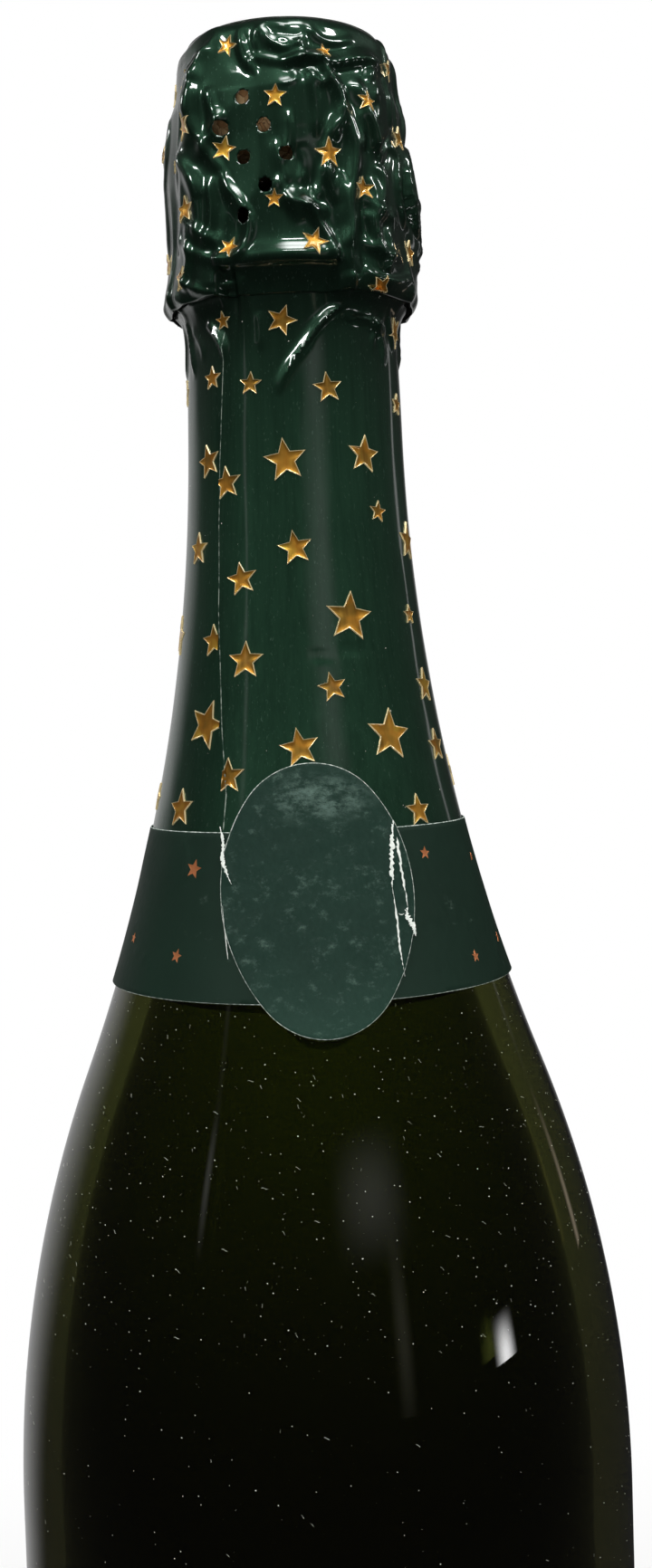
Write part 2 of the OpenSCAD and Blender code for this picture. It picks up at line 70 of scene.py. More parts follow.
level_right = Vector((math.cos(yaw), -math.sin(yaw), 0))
ahead = Vector((math.cos(pitch) * math.sin(yaw), math.cos(pitch) * math.cos(yaw), -math.sin(pitch)))
level_up = level_right.cross(ahead)
right = math.cos(roll) * level_right + math.sin(roll) * level_up
up = math.cos(roll) * level_up - math.sin(roll) * level_right

camera = bpy.data.objects.new("camera", bpy.data.cameras.new("camera"))
bpy.context.scene.collection.objects.link(camera)
camera.data.sensor_width = 36
camera.data.lens = camera.data.sensor_width * focal_px / PHOTO_H
camera.data.clip_start = 0.01
turn = Matrix((right, up, -ahead)).transposed().to_4x4()
camera.matrix_world = Matrix.Translation(camera_at) @ turn
bpy.context.scene.camera = camera
bpy.context.scene.view_settings.view_transform = "Standard"


def pixel_ray(x, y):
    """The direction from the camera through a pixel of the photograph."""
    across, rise = (x - PHOTO_W / 2) / focal_px, (PHOTO_H / 2 - y) / focal_px
    return (ahead + across * right + rise * up).normalized()


print(f"lens {camera.data.lens:.1f} mm, {camera_at.length / MM:.0f} mm from the origin")

# %% [markdown]
# ## Writing materials as expressions
# A material is a small network of nodes. Linking them by hand buries the idea under bookkeeping, so one
# class wraps a socket: adding or multiplying two wrapped sockets adds the Math node that does it. One
# method makes every other node from its type, its settings and its sockets.

# %% Material helpers


class Wire:
    """A socket of a node tree that takes part in Python sums."""

    def __init__(self, finish, socket):
        self.finish, self.socket = finish, socket

    def math(self, operation, *terms):
        settings = {"operation": operation}
        return self.finish.node("ShaderNodeMath", settings, dict(enumerate(terms)))

    def __add__(self, other):
        return self.math("ADD", self, other)

    def __radd__(self, other):
        return self.math("ADD", other, self)

    def __sub__(self, other):
        return self.math("SUBTRACT", self, other)

    def __rsub__(self, other):
        return self.math("SUBTRACT", other, self)

    def __mul__(self, other):
        return self.math("MULTIPLY", self, other)

    def __rmul__(self, other):
        return self.math("MULTIPLY", other, self)

    def __truediv__(self, other):
        return self.math("DIVIDE", self, other)

    def __pow__(self, other):
        return self.math("POWER", self, other)

    def between(self, low, high):
        """0 up to low, 1 from high, and a smooth ramp in between."""
        settings = {"interpolation_type": "SMOOTHSTEP"}
        sockets = {"Value": self, "From Min": low, "From Max": high}
        return self.finish.node("ShaderNodeMapRange", settings, sockets)


class Finish:
    """A node tree under construction, with the shader that it feeds."""

    def __init__(self, tree, shader=None):
        self.tree, self.shader = tree, shader

    def node(self, kind, settings=None, sockets=None, out=0):
        """A new node: its settings first, then the values or links of its sockets."""
        made = self.tree.nodes.new(kind)
        for key, value in (settings or {}).items():
            setattr(made, key, value)
        for key, value in (sockets or {}).items():
            self.put(made.inputs[key], value)
        return Wire(self, made.outputs[out])

    def put(self, socket, value):
        if isinstance(value, Wire):
            self.tree.links.new(value.socket, socket)
        else:
            socket.default_value = value

    def feed(self, **looks):
        """Links looks to the shader's sockets, with _ for a space in their names."""
        for key, value in looks.items():
            self.put(self.shader.inputs[key.replace("_", " ")], value)

    def mix(self, factor, a, b):
        """Colour a where factor is 0, and b where it is 1."""
        return self.node("ShaderNodeMix", {"data_type": "RGBA"}, {0: factor, 6: a, 7: b}, out=2)

    def vector(self, operation, *terms, out="Vector"):
        return self.node("ShaderNodeVectorMath", {"operation": operation}, dict(enumerate(terms)), out)

    def axis(self, place, letter):
        """One coordinate of a place."""
        return self.node("ShaderNodeSeparateXYZ", {}, {0: place}, letter)

    def place(self, stretch=(1, 1, 1)):
        """Object coordinates, stretched along the axes."""
        source = self.node("ShaderNodeTexCoord", out="Object")
        return self.node("ShaderNodeMapping", {}, {"Vector": source, "Scale": stretch})

    def noise(self, scale, detail=2.0, stretch=(1, 1, 1), roughness=0.5):
        sockets = {"Vector": self.place(stretch), "Scale": scale, "Detail": detail, "Roughness": roughness}
        return self.node("ShaderNodeTexNoise", {}, sockets)

    def bump(self, height, depth, strength=1.0, over=None):
        sockets = {"Height": height, "Distance": depth, "Strength": strength}
        if over is not None:
            sockets["Normal"] = over
        return self.node("ShaderNodeBump", {}, sockets)


def new_material(name, **constants):
    """A material with a Principled shader; the constants are its sockets, with _ for a space."""
    material = bpy.data.materials.new(name)
    material.use_nodes = True
    finish = Finish(material.node_tree, material.node_tree.nodes["Principled BSDF"])
    finish.feed(**constants)
    return material, finish


def rgb(red, green, blue):
    """A colour as it looks on a screen, 0 to 255, as the linear values that a shader takes."""
    def linear(value):
        value = value / 255
        return value / 12.92 if value <= 0.04045 else ((value + 0.055) / 1.055) ** 2.4
    return (linear(red), linear(green), linear(blue), 1)


print("a mid grey of 128 is", round(rgb(128, 128, 128)[0], 3), "to a shader")

# %% [markdown]
# ## A studio for dark glass
# Dark glass and lacquered foil show almost nothing but what they mirror. A white room all round would
# turn them grey, so the surroundings that they mirror are dim in front and pale behind, as between a
# photographer's black cards. Each soft box stands where a highlight of the photograph asks for it: the
# direction is that of the ray from the camera, mirrored by the skin at the highlight's pixel. Real soft
# boxes fade towards their edges, so these do too, with a small network in the lamp.

# %% Studio
WHITE = (1, 1, 1, 1)


def aim_lamp(name, azimuth, elevation, distance, width, height, radiance, target, edge=0.4,
             colour=(1, 1, 1)):
    """A soft box seen from a target at an azimuth counted from the camera towards the right."""
    a, e = math.radians(azimuth), math.radians(elevation)
    way = Vector((math.sin(a) * math.cos(e), -math.cos(a) * math.cos(e), math.sin(e)))
    light = bpy.data.lights.new(name, "AREA")
    light.shape, light.size, light.size_y = "RECTANGLE", width, height
    light.energy = radiance * math.pi * width * height
    light.color = colour
    light.use_nodes = True
    veil = Finish(light.node_tree)
    place = veil.node("ShaderNodeNewGeometry", out="Parametric")
    strength = 1.0
    for axis in "XY":
        off_middle = veil.axis(place, axis) - 0.5
        inward = 0.5 - off_middle.math("ABSOLUTE", off_middle)
        strength = strength * inward.between(0.0, edge)
    veil.put(light.node_tree.nodes["Emission"].inputs["Strength"], strength)
    lamp = bpy.data.objects.new(name, light)
    lamp.location = Vector(target) * MM + way * distance
    lamp.rotation_mode = "QUATERNION"
    lamp.rotation_quaternion = way.to_track_quat("Z", "Y")
    bpy.context.scene.collection.objects.link(lamp)


HOOD_AT, NECK_AT, SHOULDER_AT, BODY_AT = (0, 0, 300), (0, 0, 255), (23, -35, 145), (0, 0, 150)
# Name, azimuth and elevation in degrees; distance, width and height in metres; strength, target in mm
LAMPS = [
    ("overhead_soft_box", 15, 68, 1.1, 0.55, 0.45, 15, HOOD_AT),
    ("high_front", 4, 46, 1.2, 0.36, 0.08, 46, HOOD_AT, 0.2),
    ("high_left", -52, 40, 1.2, 0.12, 0.28, 52, HOOD_AT, 0.2),
    ("high_right", 58, 40, 1.2, 0.10, 0.24, 48, HOOD_AT, 0.2),
    ("side_right", 104, 32, 1.1, 0.07, 0.20, 40, HOOD_AT, 0.2),
    ("left_window", -119, 27, 1.0, 0.10, 0.16, 34, HOOD_AT),
    ("left_tall_strip", -50, 13, 1.2, 0.09, 0.42, 0.6, NECK_AT, 0.5),
    ("front_glow", 22, 15, 1.5, 1.0, 0.5, 0.44, NECK_AT, 0.5),
    ("right_window", 70.9, -4.6, 1.6, 0.32, 0.26, 16, SHOULDER_AT, 0.5),
    ("right_line", 127, 10, 1.0, 0.08, 0.36, 1.0, NECK_AT),
    ("shoulder_streak", 29, 3, 1.3, 0.20, 0.70, 0.28, BODY_AT, 0.5, (1, 1, 0.75)),
    ("warm_right", 127, -4, 1.3, 0.12, 0.5, 0.9, SHOULDER_AT, 0.5, (1, 0.8, 0.62)),
]
for lamp_row in LAMPS:
    aim_lamp(*lamp_row)
print(len(LAMPS), "lamps")

# %% [markdown]
# ## Floor and background
# The floor is a plain pale sheet that takes the bottle's shadow. Away from the bottle it passes into the
# white background, by the rays that look at it: white for the camera and through glass, pale behind the
# bottle and dim in front of it for mirrored rays, and an even soft light for everything else.

# %% Floor and world
BEHIND, BEHIND_FADE = (-0.30, 0.954, 0), (0.72, 0.97)
DIM_SIDE, PALE_SIDE = 0.02, 0.45
FLOOR_R, FLOOR_FADE = 3.0, (0.13, 0.30)


def add_unseen(surroundings, direction, plain, ambient):
    """Shows camera and see-through rays white, mirrored rays pale behind and dim in front."""
    is_camera = surroundings.node("ShaderNodeLightPath", out="Is Camera Ray")
    is_glossy = surroundings.node("ShaderNodeLightPath", out="Is Glossy Ray")
    is_through = surroundings.node("ShaderNodeLightPath", out="Is Transmission Ray")
    behind = surroundings.vector("DOT_PRODUCT", direction, BEHIND, out="Value")
    mirrored = DIM_SIDE + PALE_SIDE * behind.between(*BEHIND_FADE)
    mirror = surroundings.node(plain, {}, {"Color": WHITE, "Strength": mirrored})
    white = surroundings.node(plain, {}, {"Color": WHITE, "Strength": 1.0})
    unseen = surroundings.node("ShaderNodeMixShader", {}, {0: is_glossy, 1: ambient, 2: mirror})
    seen = is_camera.math("MAXIMUM", is_camera, is_through)
    return surroundings.node("ShaderNodeMixShader", {}, {0: seen, 1: unseen, 2: white}), is_glossy


def link_mesh(name, points, faces, materials):
    """A new object at the origin, with its place in its mesh."""
    mesh = bpy.data.meshes.new(name)
    mesh.from_pydata([tuple(p) for p in points], [], faces)
    for material in materials:
        mesh.materials.append(material)
    mesh.update()
    piece = bpy.data.objects.new(name, mesh)
    bpy.context.scene.collection.objects.link(piece)
    return piece


floor_material, sheet = new_material("pale_floor", Roughness=0.9)
floor_mottle = sheet.noise(3.0, 3.0)
sheet.feed(Base_Color=sheet.mix(floor_mottle, (0.80, 0.80, 0.79, 1), (0.86, 0.86, 0.85, 1)))
diffuse_floor = Wire(sheet, sheet.shader.outputs[0])
floor_place = sheet.place()
floor_distance = sheet.vector("LENGTH", floor_place, out="Value")
floor_way = sheet.vector("NORMALIZE", floor_place)
far_floor, floor_is_glossy = add_unseen(sheet, floor_way, "ShaderNodeEmission", diffuse_floor)
far = floor_distance.between(*FLOOR_FADE)
far_or_mirrored = far.math("MAXIMUM", far, floor_is_glossy)
whole_floor = sheet.node("ShaderNodeMixShader", {}, {0: far_or_mirrored, 1: diffuse_floor, 2: far_floor})
sheet.put(floor_material.node_tree.nodes["Material Output"].inputs["Surface"], whole_floor)
floor_corners = [(x * FLOOR_R, y * FLOOR_R, 0) for x, y in ((-1, -1), (1, -1), (1, 1), (-1, 1))]
floor = link_mesh("floor", floor_corners, [(0, 1, 2, 3)], [floor_material])

world = bpy.data.worlds.new("studio")
world.use_nodes = True
bpy.context.scene.world = world
world.node_tree.nodes.clear()
air = Finish(world.node_tree)
AMBIENT = 0.6
sky_way = air.node("ShaderNodeTexCoord", out="Generated")
ambient_air = air.node("ShaderNodeBackground", {}, {"Color": WHITE, "Strength": AMBIENT})
all_air, _ = add_unseen(air, sky_way, "ShaderNodeBackground", ambient_air)
world_out = world.node_tree.nodes.new("ShaderNodeOutputWorld")
air.put(world_out.inputs["Surface"], all_air)
print(f"world: 1.0 to the camera, {AMBIENT} as light")

# %% [markdown]
# ## The bottle's outline
# The wall is straight, then a convex shoulder arc meets a concave one that runs out into the slightly
# tapered neck. The same four curves give the glass, the inside of the glass and, grown outward a little,
# the foil and the paper that lie on it, so nothing has to be fitted by eye.

# %% Outline of the wall
glass_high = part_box("glass_bottle")[1]
DUST_ROOM = 0.1 * MM
body_r = min(glass_high.x, glass_high.y) - DUST_ROOM
mouth_z = glass_high.z
body_h = 115.5 * MM
shoulder_r = 170 * MM
neck_blend_r = 265 * MM
neck_r = 14.55 * MM
neck_taper = math.radians(1.4)
ring_low_z = mouth_z - 14 * MM
body_wall = 5.4 * MM
neck_inner_r = 9.4 * MM


def wall_radius(z, wall_r, arc_r, hollow_r, top_r):
    """Radius at a height: straight wall, convex shoulder, concave blend, tapered neck."""
    z = np.asarray(z, float)
    lean = (wall_r - arc_r - top_r) * math.cos(neck_taper) + (body_h - ring_low_z) * math.sin(neck_taper)
    angle = neck_taper + math.acos((hollow_r - lean) / (arc_r + hollow_r))
    arc_x, arc_z = wall_r - arc_r, body_h
    hollow_x = arc_x + (arc_r + hollow_r) * math.cos(angle)
    hollow_z = arc_z + (arc_r + hollow_r) * math.sin(angle)
    meet_z = body_h + arc_r * math.sin(angle)
    neck_z = hollow_z - hollow_r * math.sin(neck_taper)
    shoulder = arc_x + np.sqrt(np.maximum(arc_r ** 2 - (z - arc_z) ** 2, 0))
    hollow = hollow_x - np.sqrt(np.maximum(hollow_r ** 2 - (z - hollow_z) ** 2, 0))
    neck = top_r + (ring_low_z - z) * math.tan(neck_taper)
    shape = np.where(z <= neck_z, hollow, neck)
    shape = np.where(z <= meet_z, shoulder, shape)
    return np.where(z <= body_h, wall_r, shape)


def glass_radius(z, grow=0.0):
    """The outside of the glass, grown outward for what lies on it."""
    return wall_radius(z, body_r + grow, shoulder_r + grow, neck_blend_r - grow,
                       neck_r + grow / math.cos(neck_taper))


def cavity_radius(z):
    """The inside of the glass."""
    return wall_radius(z, body_r - body_wall, shoulder_r - body_wall,
                       neck_blend_r + neck_r - neck_inner_r, neck_inner_r)


print(f"body {2 * body_r / MM:.1f} mm wide, neck {2 * neck_r / MM:.1f} mm")

# %% [markdown]
# ## Turning an outline into glass
# Screw or Spin would turn an outline round the axis. A short function does the same and closes the
# poles, so the mesh has no stray points: each outline point becomes a ring, and a point on the axis
# becomes a single vertex.

# %% Lathe


def soften(piece, sharp_degrees=35):
    """Smooth shading, with edges kept sharp where the faces turn by more than an angle."""
    piece.data.shade_smooth()
    piece.data.set_sharp_from_angle(angle=math.radians(sharp_degrees))


def hand_over(piece, body, node=None):
    """The body that a piece rides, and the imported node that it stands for."""
    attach(piece, body)
    if node:
        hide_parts(node)
    print(piece.name + ":", len(piece.data.polygons), "faces")


def on_ring(a, r, z):
    """The point at an angle from the camera's side, in radians, at a radius and a height."""
    return (r * math.sin(a), -r * math.cos(a), z)


def lathe(name, outline, sides, materials):
    """Turns a closed outline of (radius, height) round the z axis. It runs anticlockwise."""
    points, rings = [], []
    for radius, height in outline:
        if radius < 1e-7:
            rings.append([len(points)] * sides)
            points.append((0, 0, height))
            continue
        rings.append(list(range(len(points), len(points) + sides)))
        for k in range(sides):
            a = 2 * math.pi * k / sides
            points.append((radius * math.cos(a), radius * math.sin(a), height))
    faces = []
    for low, high in zip(rings, rings[1:] + rings[:1]):
        for k in range(sides):
            corners = [low[k], low[(k + 1) % sides], high[(k + 1) % sides], high[k]]
            face = list(dict.fromkeys(corners))
            if len(face) > 2:
                faces.append(face)
    return link_mesh(name, points, faces, materials)


def arc(x, z, radius, start, stop, steps=8):
    """Points of an arc round (x, z), with angles in degrees."""
    turns = np.radians(np.linspace(start, stop, steps + 1))
    return [(x + radius * math.cos(a), z + radius * math.sin(a)) for a in turns]


print("a quarter arc in", len(arc(0, 0, 1, 0, 90)), "points")

# %% [markdown]
# ## Glass
# The bottle is pressed and blown in a mould, so its skin is smooth but never quite flat. A clear shader
# with a dark olive colour and faint waves gives the glass: light is tinted each time that it passes a
# wall, and the surface mirrors the studio. Its colour is painted darker lower down, where the bottle is
# wide, and towards the outline: painted shade for the longer way of light through glass and wine. The
# foot has its punt, the mouth its ring and lip.

# %% Glass bottle
heel_r, bearing_w = 7 * MM, 4 * MM
punt_h, punt_tip_r, punt_lip_r, punt_wall = 37 * MM, 12 * MM, 3 * MM, 8.5 * MM
trough_r, foot_wall = 6.5 * MM, 7.5 * MM
ring_r, ring_h, ring_round = 15.5 * MM, 6.6 * MM, 0.9 * MM
lip_r, lip_h, lip_round, groove_r = 14.4 * MM, 4.4 * MM, 1.8 * MM, 13.3 * MM
bore_r, bore_h, bore_round = 8.8 * MM, 29 * MM, 1.2 * MM
bore_low_z = mouth_z - bore_h
LEVEL = 1.5 * MM


def levels(low, high):
    return np.linspace(low, high, math.ceil((high - low) / LEVEL) + 1)


def parting_angle(a, a_r, b, b_r):
    """Direction of the line that parts two circles and touches both, in degrees."""
    gap = math.hypot(b[0] - a[0], b[1] - a[1])
    return math.degrees(math.atan2(b[1] - a[1], b[0] - a[0]) + math.acos((a_r + b_r) / gap))


punt_tip = (0, punt_h - punt_tip_r)
bearing_in_r = body_r - heel_r - bearing_w
punt_angle = parting_angle(punt_tip, punt_tip_r, (bearing_in_r, punt_lip_r), punt_lip_r)
trough = (body_r - body_wall - trough_r, foot_wall + trough_r)
dome_r = punt_tip_r + punt_wall
floor_angle = parting_angle(punt_tip, dome_r, trough, trough_r)
inside_floor = arc(*punt_tip, dome_r, 90, floor_angle) + arc(*trough, trough_r, floor_angle - 180, 0)

glass_outline = (
    arc(*punt_tip, punt_tip_r, 90, punt_angle)
    + arc(bearing_in_r, punt_lip_r, punt_lip_r, punt_angle + 180, 270)
    + arc(body_r - heel_r, heel_r, heel_r, -90, 0)
    + [(float(glass_radius(z)), z) for z in levels(body_h / 4, ring_low_z)]
    + arc(ring_r - ring_round, ring_low_z + ring_round, ring_round, -90, 0, 4)
    + arc(ring_r - ring_round, ring_low_z + ring_h - ring_round, ring_round, 0, 90, 4)
    + [(groove_r, ring_low_z + ring_h), (groove_r, mouth_z - lip_h)]
    + arc(lip_r - lip_round, mouth_z - lip_h + lip_round, lip_round, -90, 0, 5)
    + arc(lip_r - lip_round, mouth_z - lip_round, lip_round, 0, 90, 5)
    + arc(bore_r + bore_round, mouth_z - bore_round, bore_round, 90, 180, 5)
    + [(bore_r, bore_low_z + neck_inner_r - bore_r)]
    + [(float(cavity_radius(z)), z) for z in levels(body_h / 4, bore_low_z)[::-1]]
    + inside_floor[::-1]
)

glass_material, glass = new_material("dark_green_glass", Transmission_Weight=1.0, IOR=1.5,
                                     Specular_IOR_Level=0.5)
height = glass.axis(glass.place(), "Z")
# Painted shade: darker lower down, where the bottle is wide, and darker towards the outline
shaded_tint = glass.mix(height.between(0.12, 0.215), (0.020, 0.020, 0.006, 1), (0.115, 0.150, 0.015, 1))
edge_shade = glass.node("ShaderNodeLayerWeight", {}, {"Blend": 0.5}, out="Facing")
smears = glass.noise(60, 4.0, (1, 1, 0.35))
waves = glass.noise(18, 1.0, (1, 1, 0.25))
glass.feed(Base_Color=glass.mix(edge_shade.between(0.05, 0.42), shaded_tint, (0.009, 0.009, 0.004, 1)),
           Roughness=0.01 + 0.05 * smears.between(0.55, 0.8),
           Normal=glass.bump(waves, 1.2 * MM, 0.25))

glass_piece = lathe("bottle_glass", glass_outline, 224, [glass_material])
soften(glass_piece, 40)
hand_over(glass_piece, "bottle", "glass_bottle")

# %% [markdown]
# ## Wine
# A liquid in a glass has no gap to the wall. Its surface is drawn a hair inside the glass, so that the
# two never share a face, and its own faint gold shows only where the glass lets light through.

# %% Wine
level_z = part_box("wine")[1].z
FILM = 0.05 * MM
wine_outline = (
    arc(*punt_tip, dome_r + FILM, 90, floor_angle)
    + arc(*trough, trough_r - FILM, floor_angle - 180, 0)
    + [(float(cavity_radius(z)) - FILM, z) for z in levels(body_h / 4, level_z)]
    + [(0, level_z)]
)
wine_material, wine = new_material("pale_gold_wine", Transmission_Weight=1.0, IOR=1.34, Roughness=0.0)
wine.feed(Base_Color=wine.mix(wine.noise(20, 2.0), (0.93, 0.83, 0.50, 1), (0.97, 0.88, 0.60, 1)))
wine_piece = lathe("wine_fill", wine_outline, 128, [wine_material])
soften(wine_piece, 40)
hand_over(wine_piece, "bottle", "wine")

# %% [markdown]
# ## Places on the skin, read through the camera
# A fold or a star in the photograph is known by its pixel. A ray through that pixel meets the skin of
# the bottle somewhere, and that point is what the folds and stars are built on. The ray is walked until
# it is inside the skin, and the last step is halved until the place is sharp.

# %% Pixels to places
NEAREST_SHARE, MOST_STEPS, RAY_STEP = 0.6, 900, 0.4 * MM


def skin_point(x, y, radius_at, low_z, high_z):
    """Where the ray through a pixel first meets a skin of revolution."""
    way = pixel_ray(x, y)

    def inside(distance):
        p = camera_at + distance * way
        return low_z <= p.z <= high_z and math.hypot(p.x, p.y) <= radius_at(p.z)

    start = camera_at.length * NEAREST_SHARE
    for i in range(MOST_STEPS):
        if inside(start + i * RAY_STEP):
            out, in_ = start + (i - 1) * RAY_STEP, start + i * RAY_STEP
            for _ in range(12):
                middle = (out + in_) / 2
                out, in_ = (out, middle) if inside(middle) else (middle, in_)
            return camera_at + in_ * way
    return None


def azimuth_of(p):
    """Degrees round the axis, from the camera's side towards the right."""
    return math.degrees(math.atan2(p.x, -p.y))


middle_place = skin_point(PHOTO_W / 2, PHOTO_H / 2, glass_radius, 0, mouth_z)
print(f"the photograph's middle lies {middle_place.z / MM:.1f} mm up the bottle")

# %% [markdown]
# ## How the foil gets its folds
# Cloth simulation makes soft folds, but foil keeps sharp ones. Here a fold is a stroke, drawn
# along the skin, with a height and a width on each side of its crest. A broad side and a narrow side give
# a lapped edge. Every point of the foil is lifted by the strokes that pass near it. Between them, crests
# that wander between smooth hollows give the small crumples, and a field of shallow dents with sharp
# borders gives the look of foil pressed flat.

# %% Strokes and crumples


def rounded_line(points, rounds=2):
    """Cuts the corners of a line of points, so that a stroke bends smoothly."""
    for _ in range(rounds):
        cut = [points[0]]
        for a, b in zip(points, points[1:]):
            cut += [a * 0.75 + b * 0.25, a * 0.25 + b * 0.75]
        points = cut + [points[-1]]
    return points


def stroke_lift(spots, normals, line, height, left, right):
    """Lift of each spot by one stroke: a sharp crest that falls away to the left and to the right."""
    line = np.array(rounded_line([np.array(p) for p in line]))
    reach = max(left, right)
    near = np.all((spots > line.min(0) - reach) & (spots < line.max(0) + reach), axis=1)
    lift = np.zeros(len(spots))
    if not near.any():
        return lift
    p, n = spots[near], normals[near]
    lengths = np.linalg.norm(np.diff(line, axis=0), axis=1)
    runs = np.concatenate([[0], np.cumsum(lengths)])
    best = np.full(len(p), 1e9)
    along = np.zeros(len(p))
    side = np.zeros(len(p))
    for i, length in enumerate(lengths):
        a, way = line[i], (line[i + 1] - line[i]) / max(length, 1e-12)
        t = np.clip((p - a) @ way, 0, length)
        off = p - a - t[:, None] * way
        distance = np.linalg.norm(off, axis=1)
        closer = distance < best
        best = np.where(closer, distance, best)
        along = np.where(closer, runs[i] + t, along)
        side = np.where(closer, np.einsum("ij,ij->i", np.cross(way, off), n), side)
    width = np.where(side > 0, left, right)
    share = along / runs[-1]
    ends = np.clip(np.minimum(share, 1 - share) / 0.18, 0, 1)
    lift[near] = height * np.clip(1 - best / width, 0, 1) ** 1.5 * np.sqrt(ends)
    return lift


def strokes_lift(strokes, spots, normals, radius_at, low_z, high_z, gain=1.0):
    """The lift by a table of strokes, each with its crest, its widths to left and right, and its pixels."""
    lift = np.zeros(len(spots))
    for crest, left, right_width, pixels in strokes:
        line = [skin_point(x, y, radius_at, low_z, high_z) for x, y in pixels]
        line = [p for p in line if p is not None]
        if len(line) > 1:
            lift += stroke_lift(spots, normals, line, gain * crest * MM, left * MM, right_width * MM)
    return lift


def dents(across, along, cell, stretch, seed):
    """A field from 0, in the middle of each dent, to about 1, on the sharp borders between dents."""
    draw = np.random.default_rng(seed)
    span, rise = across.max() - across.min(), along.max() - along.min()
    count = int(span * rise / (cell * cell * stretch))
    seeds = draw.random((count, 2)) * (span, rise) + (across.min(), along.min())
    seeds = np.concatenate([seeds, seeds + (span, 0), seeds - (span, 0)])
    seeds = seeds / (1, stretch)
    spots = np.stack([across.ravel(), along.ravel() / stretch], axis=1)
    nearest = np.full(len(spots), 1e9)
    for seed_at in seeds:
        nearest = np.minimum(nearest, np.hypot(*(spots - seed_at).T))
    return np.minimum(nearest / cell, 1).reshape(across.shape) ** 1.5


def soft_noise(across, along, cell, stretch, seed):
    """Soft random waves from -1 to 1 over a skin; across runs once round and closes on itself."""
    draw = np.random.default_rng(seed)
    low_u, low_v = across.min(), along.min()
    span, rise = across.max() - low_u, along.max() - low_v
    cols, rows_n = max(int(span / cell), 3), int(rise / (cell * stretch)) + 3
    lattice = draw.random((rows_n, cols)) * 2 - 1
    u, v = (across - low_u) / span * cols, np.clip((along - low_v) / (cell * stretch), 0, rows_n - 1.001)
    i, j = np.floor(v).astype(int), np.floor(u).astype(int)
    fu, fv = u - j, v - i
    fu, fv = fu * fu * (3 - 2 * fu), fv * fv * (3 - 2 * fv)
    low = lattice[i, j % cols] * (1 - fu) + lattice[i, (j + 1) % cols] * fu
    high = lattice[i + 1, j % cols] * (1 - fu) + lattice[i + 1, (j + 1) % cols] * fu
    return low * (1 - fv) + high * fv


def crumples(across, along, cell, stretch, seed):
    """Sharp meandering crests between smooth hollows: the zero line of soft waves, drawn out of line."""
    drift = 0.8 * cell * soft_noise(across, along, 1.7 * cell, stretch, seed + 1)
    waves = soft_noise(across, np.clip(along + drift, along.min(), along.max()), cell, stretch, seed)
    return np.clip(1 - 2.2 * np.abs(waves), 0, 1) ** 1.3


def bell(x, middle, width):
    """1 at the middle, falling softly to 0 over about twice the width."""
    return np.exp(-((x - middle) / width) ** 2)


def ramp(x, low, high):
    """0 up to low, 1 from high, smooth in between."""
    t = np.clip((x - low) / (high - low), 0, 1)
    return t * t * (3 - 2 * t)


def around(degrees, r, z):
    """Grids of points from grids of azimuths, radii and heights."""
    a = np.radians(degrees)
    return np.stack(np.broadcast_arrays(r * np.sin(a), -r * np.cos(a), z), axis=-1)


print("half way up a ramp:", ramp(0.5, 0, 1))

# %% [markdown]
# ## The hood of the capsule
# The hood is thin foil pressed by hand over the wire cage. It stands off the legs, sags between them,
# bulges over the folded tab and is tucked in hard under the ring at the front. Sculpting would do it by
# feel. Here the same wall is a grid of rows and columns: one formula for the plain form, then the strokes
# read from the photograph, then seeded crumples, and more of them at the back, where no photograph helps.
# Above the rim the lifts are eased at last, so that the gleams run on in broad soft bands.

# %% Hood form
hood_low, hood_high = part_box("foil_hood")
rim_z, top_z = hood_low.z, hood_high.z
rim_r, turn_r, crown_r, round_r = 18.8 * MM, 17.9 * MM, 15.2 * MM, 1.7 * MM
turn_z = top_z - 9.4 * MM
shelf_r = 11.8 * MM
# Azimuths of the cage's legs and tab, and how far to each side the foil follows them
LEGS, LEG_SPREAD, TAB, TAB_SPREAD = (-135, -45, 45, 135), 13, 90, 55
TAB_POST_R, TAB_POST_AT, TAB_FADE = 9.1 * MM, 10.97 * MM, (301 * MM, 308 * MM)
SAG, PRESSED_IN = 1.1 * MM, 0.15 * MM
# The tucked front: between which azimuths it fades in and out, its radii, and its lip above
FRONT_IN, FRONT_OUT = (-35, -32), (18, 26)
TUCK_Z, TUCK_TOP_Z, TUCK_R, TUCK_RISE = 286.6 * MM, 287.6 * MM, 15.6 * MM, 1.3 * MM
LIP_Z, LIP_W, LIP_OUT, CURL_Z, CURL = 288.3 * MM, 1.2 * MM, 0.6 * MM, 285.6 * MM, 0.27 / MM


def hood_base_radius(z):
    """Radius of the plain hood: a leaning side and a sloping shoulder."""
    heights = [rim_z, turn_z, top_z - round_r, top_z]
    return np.interp(z, heights, [rim_r, turn_r, crown_r, crown_r - round_r])


def turn_from(azimuth, middle):
    """Degrees from a middle azimuth, between -180 and 180."""
    return (np.asarray(azimuth) - middle + 180) % 360 - 180


